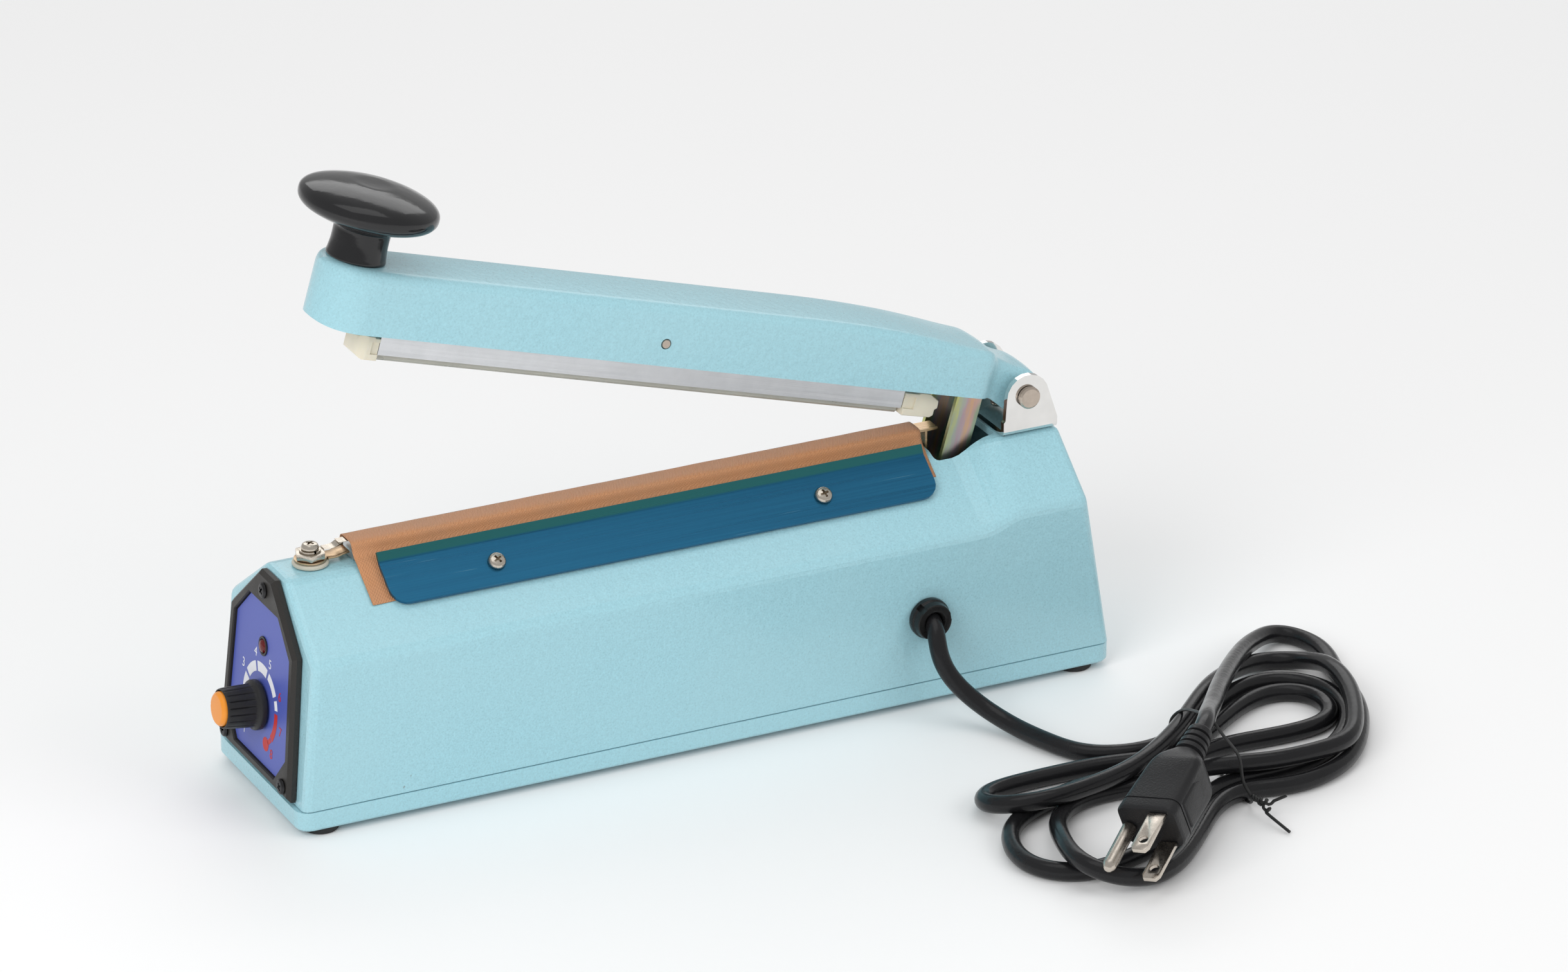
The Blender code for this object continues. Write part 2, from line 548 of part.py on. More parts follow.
# ---- lower jaw -----------------------------------------------------------------------------------------
bar_outline = ((-BAR_HALF, DECK_Z + GAP), (-BAR_HALF, BAR_TOP - 1.0), (-BAR_HALF + 1.0, BAR_TOP),
               (BAR_HALF - 1.0, BAR_TOP), (BAR_HALF, BAR_TOP - 1.0), (BAR_HALF, DECK_Z + GAP))
add_object("lower_jaw_bar", prism_mesh("lower_jaw_bar", bar_outline, "x", BAR_X[0], BAR_X[1]), ALUMINIUM)
add_object("heating_element", box_mesh("heating_element", (BAR_X[0] - 0.2, BAR_X[1]), (-1.8, 1.8),
                                       (BAR_TOP + 0.3, BAR_TOP + 0.6)), NICKEL)
edge_low = on_slope(0.0, 9.6, GAP, -1)
edge_bend = on_slope(0.0, 0.3, GAP, -1)
half_path = [(edge_low.y, edge_low.z), (edge_bend.y, edge_bend.z), (-4.75, 85.6), (-4.45, 86.5), (-3.6, 87.1)]
path = half_path + [(-y, z) for y, z in reversed(half_path)]


def thick_path(points, thickness):
    """An outline that gives an open path in the y z plane a thickness on its left side."""
    outer = []
    count = len(points)
    for k in range(count):
        here = Vector(points[k])
        before = (here - Vector(points[k - 1])).normalized() if k else None
        after = (Vector(points[k + 1]) - here).normalized() if k < count - 1 else None
        if before is None:
            normal = Vector((-after.y, after.x))
        elif after is None:
            normal = Vector((-before.y, before.x))
        else:
            normal = Vector((-before.y, before.x)) + Vector((-after.y, after.x))
            normal = normal * (2.0 / normal.length_squared)
        outer.append(tuple(here + normal * thickness))
    return [tuple(p) for p in points] + outer[::-1]


cloth_mesh = prism_mesh("release_cloth", thick_path(path, CLOTH_T), "x", CLOTH_X[0], CLOTH_X[1])
release_cloth = add_object("release_cloth", cloth_mesh, CLOTH)
cutter("cloth_notches", joined("cloth_notches", [
    rod_mesh("notch", on_slope(x, CLAMP_SCREW_S, -2.0, side), on_slope(x, CLAMP_SCREW_S, 4.0, side),
             HOLE_R + 0.2, 12)
    for side in (-1, 1) for x in CLAMP_SCREW_X]), release_cloth)

clamp_out = GAP + CLOTH_T + GAP
CORNER_STEPS = 5
BEND_DOWN = 1.9           # where the clamp plate turns up along the jaw
LIP_INNER = Vector((-8.35, 83.7))
LIP_OUTER = Vector((-9.2, 84.4))
for side, label in ((-1, "near"), (1, "far")):
    low_points = []
    for k in range(CORNER_STEPS + 1):
        angle = math.radians(90.0 * k / CORNER_STEPS)
        low_points.append((CLAMP_X[0] + CLAMP_CORNER * (1.0 - math.cos(angle)),
                           CLAMP_LOW - CLAMP_CORNER * (1.0 - math.sin(angle))))
    low_edge = low_points + [(CLAMP_X[0] + CLAMP_X[1] - x, s) for x, s in reversed(low_points)]
    rows = []
    for out, bend_at, lip in ((clamp_out, BEND_DOWN, LIP_INNER),
                              (clamp_out + CLAMP_T, BEND_DOWN - 0.35, LIP_OUTER)):
        low_row = [on_slope(x, s, out, side) for x, s in low_edge]
        bend_row = [on_slope(x, bend_at, out, side) for x, s in low_edge]
        lip_row = [Vector((x, -side * lip.x, lip.y)) for x, s in low_edge]
        rows.append((low_row, bend_row, lip_row))
    rings = [rows[0][0], rows[0][1], rows[0][2], rows[1][2], rows[1][1], rows[1][0]]
    count = len(low_edge)
    verts = [v for ring in rings for v in ring]
    faces = []
    for r in range(6):
        for i in range(count - 1):
            low = r * count
            high = ((r + 1) % 6) * count
            faces.append((low + i, low + i + 1, high + i + 1, high + i))
    faces.append(tuple(r * count for r in range(6)))
    faces.append(tuple(r * count + count - 1 for r in range(6))[::-1])
    clamp = add_object("clamp_plate_%s" % label, mesh_from("clamp", verts, faces), ANODISED)
    for x in CLAMP_SCREW_X:
        hole = rod_mesh("hole", on_slope(x, CLAMP_SCREW_S, -4.0, side), on_slope(x, CLAMP_SCREW_S, 6.0, side),
                        HOLE_R, 12)
        cutter("clamp_hole_%s_%d" % (label, int(x)), hole, clamp)
for index, (x, side) in enumerate([(x, side) for side in (-1, 1) for x in CLAMP_SCREW_X]):
    head_at = on_slope(x, CLAMP_SCREW_S, clamp_out + CLAMP_T + 0.15, side)
    pan_screw("clamp_screw_%d" % (index + 1), head_at, slope_normal(side), 3.1, 2.0, 8.0, NICKEL)

strap = ((241.9, 85.6), (241.9, 86.4), (249.0, 86.4), (249.0, 85.6), (245.0, 85.6), (245.0, 74.0),
         (244.2, 74.0), (244.2, 85.6))
add_object("element_strap", prism_mesh("element_strap", strap, "y", -3.0, 3.0), COPPER)

# ---- hinge bracket and pin -----------------------------------------------------------------------------
u_profile = [(-EAR_OUT, EAR_TOP), (-EAR_OUT, BRACKET_Z + 1.6), (-EAR_OUT + 0.5, BRACKET_Z + 0.5),
             (-EAR_OUT + 1.6, BRACKET_Z), (EAR_OUT - 1.6, BRACKET_Z), (EAR_OUT - 0.5, BRACKET_Z + 0.5),
             (EAR_OUT, BRACKET_Z + 1.6), (EAR_OUT, EAR_TOP), (EAR_OUT - EAR_T, EAR_TOP),
             (EAR_OUT - EAR_T, BRACKET_Z + EAR_T), (-EAR_OUT + EAR_T, BRACKET_Z + EAR_T),
             (-EAR_OUT + EAR_T, EAR_TOP)]
bracket = add_object("hinge_bracket", prism_mesh("hinge_bracket", u_profile, "x", EAR_X[0], EAR_X[1]), CHROME)
ear = [(EAR_X[0] - 1.0, 80.0), (EAR_X[1] + 1.0, 80.0), (EAR_X[1] + 1.0, 88.4), (EAR_X[1], 88.4)]
for k in range(9):
    angle = math.radians(24.0 + 156.0 * k / 8)
    ear.append((HINGE.x + EAR_R * math.cos(angle), HINGE.z + EAR_R * math.sin(angle)))
ear.append((EAR_X[0] + 0.6, 90.0))
ear.append((EAR_X[0] - 1.0, 88.0))
cutter("bracket_outline", prism_mesh("bracket_outline", ear, "y", -30.0, 30.0), bracket, "INTERSECT")
bracket_holes = [rod_mesh("hole", (HINGE.x, -30.0, HINGE.z), (HINGE.x, 30.0, HINGE.z), PIN_R + GAP, 20)]
for x, y in BRACKET_SCREWS:
    bracket_holes.append(rod_mesh("hole", (x, y, 78.0), (x, y, 90.0), HOLE_R, 12))
cutter("bracket_holes", joined("bracket_holes", bracket_holes), bracket)
pin_profile = ((PIN_R - 0.5, -17.4), (PIN_R, -16.9), (PIN_R, 16.8), (PIN_HEAD_R, 16.8),
               (PIN_HEAD_R, 18.0), (PIN_HEAD_R - 0.6, 18.5))
hinge_pin = turned_mesh("hinge_pin", pin_profile, axis_frame(HINGE, (0.0, -1.0, 0.0)), 24)
add_object("hinge_pin", hinge_pin, NICKEL)
for index, (x, y) in enumerate(BRACKET_SCREWS):
    head_at = (x, y, BRACKET_Z + EAR_T + 0.1)
    pan_screw("bracket_screw_%d" % (index + 1), head_at, (0.0, 0.0, 1.0), 2.8, 1.6, 9.0, NICKEL)

# ---- arm: local a runs toward the hinge, v is up from the arm axis --------------------------------------
ARM = Matrix.Translation(HINGE) @ Matrix.Rotation(OPEN_ANGLE, 4, "Y")
ROUND = 3.0


def arm_ring(u, half, low, high, corner=ROUND):
    corner = min(corner, half * 0.8, (high - low) * 0.45)
    right = [(-half, low), (-half, high - corner), (-half + corner * 0.3, high - corner * 0.3),
             (-half + corner, high)]
    points = right + [(-y, v) for y, v in reversed(right)]
    return [(-u, y, v) for y, v in points]


# along from the hinge, half width, bottom, top
arm_stations = (
    (264.1, 2.4, -2.6, 16.4), (263.6, 4.4, -2.9, 16.9), (262.6, 6.8, -3.1, 17.3), (261.0, 9.1, -3.2, 17.5),
    (258.6, 11.4, ARM_BOTTOM, 17.7), (256.0, 13.0, ARM_BOTTOM, ARM_TOP), (253.0, 14.0, ARM_BOTTOM, ARM_TOP),
    (250.0, ARM_HALF, ARM_BOTTOM, ARM_TOP), (240.0, ARM_HALF, ARM_BOTTOM, ARM_TOP),
    (150.0, ARM_HALF, ARM_BOTTOM, ARM_TOP), (82.0, ARM_HALF, ARM_BOTTOM, ARM_TOP),
    (66.0, ARM_HALF, ARM_BOTTOM, 17.4), (50.0, ARM_HALF, ARM_BOTTOM, 16.5),
    (36.0, ARM_HALF, ARM_BOTTOM, 15.1),
    (24.0, ARM_HALF, ARM_BOTTOM, 13.6), (17.0, ARM_HALF, ARM_BOTTOM, 12.9), (14.2, 13.7, ARM_BOTTOM, 12.5),
    (12.4, 12.2, ARM_BOTTOM, 12.0), (11.0, TONGUE_HALF, -3.8, 10.4), (6.5, TONGUE_HALF, -6.0, 8.8),
    (2.5, TONGUE_HALF, -8.1, 7.8), (-2.0, TONGUE_HALF, -8.3, 7.2), (-5.5, TONGUE_HALF, -6.6, 5.6),
    (-7.8, TONGUE_HALF, -3.6, 3.6), (-TONGUE_R, TONGUE_HALF, -0.9, 0.9))
arm_mesh = rings_mesh("arm_shell", [arm_ring(*station) for station in arm_stations], ARM)
arm_shell = add_object("arm_shell", arm_mesh, PAINT, HINGE, 40.0)
cavity_half = ARM_HALF - ARM_WALL
# along from the hinge, half width, top
cavity_stations = (
    (259.5, 6.5, 9.5), (254.5, 10.6, ARM_TOP - 2.6), (250.0, 11.3, ARM_TOP - 2.6),
    (82.0, cavity_half, ARM_TOP - 2.6),
    (50.0, cavity_half, 13.6), (30.0, cavity_half, 11.6), (17.5, cavity_half - 1.0, 9.9), (10.6, 8.6, 8.0))
cavity_rings = [arm_ring(u, half, -24.0, high, 1.5) for u, half, high in cavity_stations]
cutter("arm_cavity", rings_mesh("arm_cavity", cavity_rings, ARM), arm_shell)


def arm_rod(name, u, v, radius, half_length, segments=16):
    return turned_mesh(name, ((radius, -half_length), (radius, half_length)),
                       ARM @ axis_frame((-u, 0.0, v), (0.0, -1.0, 0.0)), segments)


stem_frame = ARM @ Matrix.Translation((-KNOB_U, 0.0, 0.0))
cutter("arm_holes", joined("arm_holes", [
    arm_rod("hole", 0.0, 0.0, PIN_R + GAP, 30.0, 20),
    arm_rod("hole", JAW_PIVOT[0], JAW_PIVOT[1], JAW_PIN_R + 0.25, 30.0, 14),
    turned_mesh("hole", ((3.5, 8.0), (3.5, 24.0)), stem_frame, 16)]), arm_shell)

stem_low = ARM_TOP + GAP
knob_profile = ((3.0, 13.0), (3.1, 13.4), (3.1, stem_low), (STEM_R + 0.4, stem_low),
                (STEM_R + 0.3, stem_low + 1.0), (STEM_R - 0.4, 24.0), (9.6, 28.2), (10.3, 28.8),
                (11.5, 29.6), (15.0, 30.6), (18.6, 31.7), (21.4, 33.0), (22.9, 34.6), (HEAD_R, 36.4),
                (22.9, 38.2), (21.2, 39.8), (18.0, 41.2), (13.5, 42.4), (9.0, 43.1), (6.5, 43.3),
                (3.5, 43.15), (1.0, 43.05))
add_object("press_knob", turned_mesh("press_knob", knob_profile, stem_frame, 40), GLOSS_BLACK, HINGE)

pivot = ARM @ Vector((-JAW_PIVOT[0], 0.0, JAW_PIVOT[1]))
pin_mesh = turned_mesh("jaw_pin", ((JAW_PIN_R - 0.2, -ARM_HALF - 0.2), (JAW_PIN_R, -ARM_HALF + 0.2),
                                   (JAW_PIN_R, ARM_HALF - 0.2), (JAW_PIN_R - 0.2, ARM_HALF + 0.2)),
                       axis_frame(pivot, (0.0, -1.0, 0.0)), 16)
add_object("jaw_pin", pin_mesh, NICKEL, HINGE)

web, cheek_top = LEVER_V
lever_profile = [(-LEVER_HALF, cheek_top), (-LEVER_HALF, web), (LEVER_HALF, web), (LEVER_HALF, cheek_top),
                 (LEVER_HALF - LEVER_T, cheek_top), (LEVER_HALF - LEVER_T, web + LEVER_T),
                 (-LEVER_HALF + LEVER_T, web + LEVER_T), (-LEVER_HALF + LEVER_T, cheek_top)]
lever_mesh = prism_mesh("lift_lever", lever_profile, "x", -LEVER_U[1], -LEVER_U[0], ARM)
add_object("lift_lever", lever_mesh, ZINC, HINGE)

# ---- upper jaw -----------------------------------------------------------------------------------------
half = CHANNEL_HALF
low, high = CHANNEL_V
channel = ((-half, low), (-half, high), (half, high), (half, low), (4.3, low), (4.3, high - 2.0),
           (-4.3, high - 2.0), (-4.3, low))
channel_mesh = prism_mesh("jaw_channel", channel, "x", -CHANNEL_U[1], -CHANNEL_U[0], ARM)
jaw_channel = add_object("jaw_channel", channel_mesh, ALUMINIUM, pivot)
tab_u = JAW_PIVOT[0]
tab = ((-tab_u - 9.0, high - 1.0), (-tab_u + 9.0, high - 1.0), (-tab_u + 9.0, 2.0), (-tab_u + 5.0, 8.2),
       (-tab_u - 5.0, 8.2), (-tab_u - 9.0, 2.0))
cutter("jaw_tab", prism_mesh("jaw_tab", tab, "y", -4.0, 4.0, ARM), jaw_channel, "UNION")
jaw_hole = arm_rod("jaw_hole", JAW_PIVOT[0], JAW_PIVOT[1], JAW_PIN_R + GAP, 10.0, 14)
cutter("jaw_hole", jaw_hole, jaw_channel)
strip = ((-4.0, STRIP_BOTTOM + 0.8), (-4.0, high - 2.3), (4.0, high - 2.3), (4.0, STRIP_BOTTOM + 0.8),
         (3.2, STRIP_BOTTOM), (-3.2, STRIP_BOTTOM))
strip_mesh = prism_mesh("sealing_strip", strip, "x", -CHANNEL_U[1] + 0.4, -CHANNEL_U[0] - 0.4, ARM)
add_object("sealing_strip", strip_mesh, SILICONE, pivot)
front_clip = ((-246.5, -6.6), (-245.7, -5.8), (-239.3, -5.8), (-239.3, -13.6), (-245.2, -13.6),
              (-246.5, -12.4))
rear_clip = ((-40.7, -5.8), (-31.0, -5.8), (-27.6, -8.2), (-27.6, -12.2), (-29.6, -14.1), (-40.7, -14.1))
for label, outline in (("front", front_clip), ("rear", rear_clip)):
    clip_mesh = prism_mesh("clip", outline, "y", -6.9, 6.9, ARM)
    add_object("jaw_clip_%s" % label, bevel(clip_mesh, sharp_edges(60.0), 0.5, 1), CREAM, pivot)

# ---- inside the housing --------------------------------------------------------------------------------
core = box_mesh("transformer_core", (96.0, 152.0), (-17.0, 17.0), (FLOOR + GAP, 52.0))
transformer_core = add_object("transformer_core", core, IRON)
cutter("core_windows", joined("core_windows", [
    box_mesh("window", (105.0, 114.5), (-30.0, 30.0), (14.0, 43.0)),
    box_mesh("window", (133.5, 143.0), (-30.0, 30.0), (14.0, 43.0))]), transformer_core)
winding_mesh = box_mesh("transformer_winding", (105.4, 142.6), (-25.5, 25.5), (14.4, 42.6))
winding = add_object("transformer_winding", bevel(winding_mesh, sharp_edges(60.0), 1.0, 1), ENAMEL)
cutter("winding_bore", box_mesh("winding_bore", (114.2, 133.8), (-17.3, 17.3), (10.0, 47.0)), winding)
ledge = ((238.0, FLOOR + GAP), (239.6, FLOOR + GAP), (239.6, LEDGE_Z - 1.6), (273.0, LEDGE_Z - 1.6),
         (273.0, LEDGE_Z), (238.0, LEDGE_Z))
switch_bracket = add_object("switch_bracket", prism_mesh("switch_bracket", ledge, "y", -9.0, 13.0), ZINC)
post = box_mesh("switch_post", (247.5, 269.5), (11.0, 12.6), (LEDGE_Z - 1.0, SWITCH_TOP))
cutter("switch_post", post, switch_bracket, "UNION")
switch_body = box_mesh("microswitch", (248.5, 268.5), (4.4, 10.7), (SWITCH_TOP - 10.0, SWITCH_TOP))
microswitch = add_object("microswitch", switch_body, BLACK)
plunger_at = Vector((258.6, 6.2, SWITCH_TOP + GAP))
plunger_profile = ((PLUNGER_R, -0.5), (PLUNGER_R, 3.3), (PLUNGER_R - 0.4, 3.7))
plunger = turned_mesh("switch_plunger", plunger_profile, Matrix.Translation(plunger_at), 14)
add_object("switch_plunger", plunger, CREAM, plunger_at)
# the plunger's foot slides in a pocket that is deeper than its travel
pocket_low = (plunger_at.x, plunger_at.y, SWITCH_TOP - 1.5)
pocket_high = (plunger_at.x, plunger_at.y, SWITCH_TOP + 2.0)
pocket = rod_mesh("plunger_pocket", pocket_low, pocket_high, PLUNGER_R + 0.35, 14)
cutter("plunger_pocket", pocket, microswitch)

spring_points = SPRING_TURNS * 14          # stations along the wire
spring_rings = []
spring_low = LEDGE_Z + GAP + SPRING_WIRE
for k in range(spring_points + 1):
    part = k / spring_points
    turn = 2.0 * math.pi * SPRING_TURNS * part
    centre = Vector((SPRING_R * math.cos(turn), SPRING_R * math.sin(turn),
                     spring_low + (SPRING_TOP - SPRING_WIRE - spring_low) * part))
    radial = Vector((math.cos(turn), math.sin(turn), 0.0))
    spring_rings.append([centre + (radial * math.cos(a) + Vector((0.0, 0.0, 1.0)) * math.sin(a)) * SPRING_WIRE
                         for a in [2.0 * math.pi * i / 6 for i in range(6)]])
spring = rings_mesh("return_spring", spring_rings, Matrix.Translation((SPRING_X, SPRING_Y, 0.0)))
add_object("return_spring", spring, NICKEL, (SPRING_X, SPRING_Y, LEDGE_Z + GAP), 60.0)

# ---- cord ----------------------------------------------------------------------------------------------
gland_profile = ((4.6, -7.0), (5.1, -6.4), (5.1, GAP), (7.9, GAP), (7.9, 2.6), (6.9, 3.4),
                 (6.3, GLAND_OUT), (4.0, GLAND_OUT))
gland = turned_mesh("cable_gland", gland_profile, axis_frame(GLAND, (0.0, -1.0, 0.0)), 28)
add_object("cable_gland", gland, BLACK)


def smooth_route(points, spacing):
    """Points at even spacing along a curve through the route points."""
    points = [Vector(p) for p in points]
    dense = []
    for k in range(len(points) - 1):
        p0 = points[max(k - 1, 0)]
        p1 = points[k]
        p2 = points[k + 1]
        p3 = points[min(k + 2, len(points) - 1)]
        for step in range(20):
            t = step / 20.0
            dense.append(0.5 * ((2.0 * p1) + (p2 - p0) * t + (2.0 * p0 - 5.0 * p1 + 4.0 * p2 - p3) * t * t
                                + (3.0 * p1 - p0 - 3.0 * p2 + p3) * t * t * t))
    dense.append(points[-1])
    total = sum((b - a).length for a, b in zip(dense, dense[1:]))
    count = max(2, round(total / spacing))
    result = [dense[0]]
    run = 0.0
    for a, b in zip(dense, dense[1:]):
        length = (b - a).length
        while len(result) < count and run + length >= total * len(result) / count:
            part = (total * len(result) / count - run) / length
            result.append(a.lerp(b, part))
        run += length
    result.append(dense[-1])
    return result


def tube_object(name, points, radius, material):
    curve = bpy.data.curves.new(name, "CURVE")
    curve.dimensions = "3D"
    curve.bevel_depth = radius * MM
    curve.bevel_resolution = 2
    curve.use_fill_caps = True
    spline = curve.splines.new("POLY")
    spline.points.add(len(points) - 1)
    for item, point in zip(spline.points, points):
        item.co = (point.x * MM, point.y * MM, point.z * MM, 1.0)
    curve.materials.append(material)
    obj = bpy.data.objects.new(name, curve)
    bpy.context.scene.collection.objects.link(obj)
    return obj


tube_object("cord_lead", smooth_route(LEAD_ROUTE, CORD_D * 0.35), CORD_D / 2.0, CORD)
hank = add_object("cord_hank", prism_mesh("cord_hank", HANK_LOW, "z", HANK_Z[0], HANK_Z[1]), CORD)
cutter("hank_upper", prism_mesh("hank_upper", HANK_HIGH, "z", HANK_Z[1] - 2.0, HANK_Z[2]), hank, "UNION")
riser_points = smooth_route(RISER, CORD_D)
riser_rings = []
for k, point in enumerate(riser_points):
    along = (riser_points[min(k + 1, len(riser_points) - 1)] - riser_points[max(k - 1, 0)]).normalized()
    ring_side = along.cross(Vector((0.0, 0.0, 1.0))).normalized()
    ring_up = ring_side.cross(along)
    riser_rings.append([point + (ring_side * math.cos(a) + ring_up * math.sin(a)) * (CORD_D / 2.0)
                        for a in [2.0 * math.pi * i / 12 for i in range(12)]])
cutter("hank_riser", rings_mesh("hank_riser", riser_rings), hank, "UNION")

plug_axis = (PLUG_FACE - PLUG_REAR).normalized()
plug_side = Vector((0.0, 0.0, 1.0)).cross(plug_axis).normalized() * -1.0
plug_up = plug_axis.cross(plug_side) * -1.0
if plug_up.z < 0.0:
    plug_up = plug_up * -1.0
ground_way = plug_side * math.cos(PLUG_ROLL) + plug_up * math.sin(PLUG_ROLL)
blade_way = ground_way.cross(plug_axis).normalized()
PLUG = Matrix((
    (blade_way.x, ground_way.x, plug_axis.x, PLUG_REAR.x),
    (blade_way.y, ground_way.y, plug_axis.y, PLUG_REAR.y),
    (blade_way.z, ground_way.z, plug_axis.z, PLUG_REAR.z),
    (0.0, 0.0, 0.0, 1.0)))
plug_length = (PLUG_FACE - PLUG_REAR).length
# along the axis, half width, the two sides of the height, corner radius
plug_sections = ((0.0, 3.6, -3.6, 3.6, 3.5), (1.0, 4.1, -4.1, 4.1, 4.0), (11.4, 5.0, -5.0, 5.0, 4.9),
                 (13.0, 5.6, -5.8, 5.6, 4.6), (16.5, 7.4, -8.4, 6.2, 4.2), (20.0, 8.8, -10.3, 6.8, 3.4),
                 (24.0, 9.0, -10.6, 7.6, 3.0), (33.0, 8.6, -10.5, 9.2, 3.2),
                 (plug_length - 1.2, 8.5, -10.5, 10.6, 3.4), (plug_length, 7.9, -9.9, 10.0, 2.9))
plug_rings = []
for along, half_b, low_g, high_g, radius in plug_sections:
    outline = rounded_rect((-half_b, half_b), (low_g, high_g), radius, 4)
    plug_rings.append([(a, b, along) for a, b in outline])
add_object("plug_body", rings_mesh("plug_body", plug_rings, PLUG), BLACK)
for index, sign in enumerate((-1, 1)):
    blade = rounded_rect((sign * BLADE_SPREAD - 0.75, sign * BLADE_SPREAD + 0.75),
                         (GROUND_SHIFT - 3.15, GROUND_SHIFT + 3.15), 0.3, 1)
    blade_rings = [[(a, b, plug_length + GAP) for a, b in blade],
                   [(a, b, plug_length + 16.0) for a, b in blade]]
    blade_tip = rounded_rect((sign * BLADE_SPREAD - 0.45, sign * BLADE_SPREAD + 0.45),
                             (GROUND_SHIFT - 2.3, GROUND_SHIFT + 2.3), 0.3, 1)
    blade_rings.append([(a, b, plug_length + 17.2) for a, b in blade_tip])
    add_object("plug_blade_%d" % (index + 1), rings_mesh("plug_blade", blade_rings, PLUG), NICKEL)
ground_frame = PLUG @ Matrix.Translation((0.0, GROUND_SHIFT + GROUND_DROP, 0.0))
ground_profile = ((2.4, plug_length + GAP), (2.4, plug_length + 18.0), (1.9, plug_length + 19.6),
                  (0.9, plug_length + 20.4))
add_object("plug_ground_pin", turned_mesh("plug_ground_pin", ground_profile, ground_frame, 16), NICKEL)

# ---- the sealer's own middle goes to x = 0 --------------------------------------------------------------
CORD_NODES = {"cord_lead", "cord_hank", "plug_body", "plug_blade_1", "plug_blade_2", "plug_ground_pin",
              "cable_gland"}
bpy.context.view_layer.update()
x_values = []
for obj in bpy.data.objects:
    if obj.type == "MESH" and not obj.hide_render and obj.name not in CORD_NODES:
        x_values.extend((obj.matrix_world @ Vector(corner)).x for corner in obj.bound_box)
middle = (min(x_values) + max(x_values)) / 2.0
for obj in bpy.data.objects:
    obj.location.x -= middle
print("middle of the sealer in build coordinates, mm:", round(middle / MM, 3))
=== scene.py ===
"""Looks of the hand impulse heat sealer: finishes, fine detail, the cord, the floor, lights and camera.

Sizes are in millimetres of the local frame that the part is drawn in: x is 0 at the front lip of the base
plate and grows toward the hinge, y is 0 on the centre line and negative on the cord side, and z is 0 under
the feet.
"""
import bmesh
import bpy
import math
import random
from mathutils import Matrix, Vector


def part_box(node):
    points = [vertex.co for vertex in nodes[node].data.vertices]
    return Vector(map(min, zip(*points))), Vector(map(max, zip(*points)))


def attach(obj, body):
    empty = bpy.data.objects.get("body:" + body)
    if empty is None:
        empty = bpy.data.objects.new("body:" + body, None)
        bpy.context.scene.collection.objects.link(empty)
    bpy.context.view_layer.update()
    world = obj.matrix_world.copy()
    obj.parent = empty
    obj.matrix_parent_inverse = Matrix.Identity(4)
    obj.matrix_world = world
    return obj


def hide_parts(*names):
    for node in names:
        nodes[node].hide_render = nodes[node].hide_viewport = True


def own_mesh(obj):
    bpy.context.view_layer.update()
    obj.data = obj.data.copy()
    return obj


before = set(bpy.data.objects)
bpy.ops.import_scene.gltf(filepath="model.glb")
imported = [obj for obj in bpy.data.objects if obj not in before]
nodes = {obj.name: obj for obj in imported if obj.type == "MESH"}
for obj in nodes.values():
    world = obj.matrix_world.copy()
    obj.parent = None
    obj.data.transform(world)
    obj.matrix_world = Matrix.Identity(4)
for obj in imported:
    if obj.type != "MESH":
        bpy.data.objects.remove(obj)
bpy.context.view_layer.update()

MM = 0.001
X0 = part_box("base_plate")[0].x
LOCAL = Matrix.Translation((X0, 0.0, 0.0)) @ Matrix.Scale(MM, 4)


def at(x, y, z):
    """A point of the local frame, in metres of the row frame."""
    return LOCAL @ Vector((x, y, z))


def link(obj):
    bpy.context.scene.collection.objects.link(obj)


def frame_of(x_axis, y_axis, z_axis, origin):
    """A matrix from its three axes and its origin."""
    matrix = Matrix((x_axis, y_axis, z_axis)).transposed().to_4x4()
    matrix.translation = origin
    return matrix


def polar(radius, angle):
    """The point of a circle at an angle in radians."""
    return radius * math.cos(angle), radius * math.sin(angle)


# ---- camera ----
AZIMUTH = math.radians(26.6)
ELEVATION = math.radians(24.07)
ROLL = math.radians(-0.22)
DISTANCE = 2.4999
AIM = at(146.0, 0.0, 60.0)
AIM_RIGHT = -0.0417       # how far the aim point stands from the middle of the picture
AIM_UP = -0.02165
LENS = 172.3

back = Vector((-math.sin(AZIMUTH) * math.cos(ELEVATION), -math.cos(AZIMUTH) * math.cos(ELEVATION),
               math.sin(ELEVATION)))
right = Vector((math.cos(AZIMUTH), -math.sin(AZIMUTH), 0.0))
up = back.cross(right)
camera_data = bpy.data.cameras.new("camera")
camera_data.lens = LENS
camera_data.sensor_width = 36.0
camera_data.clip_end = 20.0
camera = bpy.data.objects.new("camera", camera_data)
link(camera)
bpy.context.scene.camera = camera
rolled_right = right * math.cos(ROLL) - up * math.sin(ROLL)
rolled_up = right * math.sin(ROLL) + up * math.cos(ROLL)
camera.matrix_world = frame_of(rolled_right, rolled_up, back,
                               AIM + back * DISTANCE - right * AIM_RIGHT - up * AIM_UP)


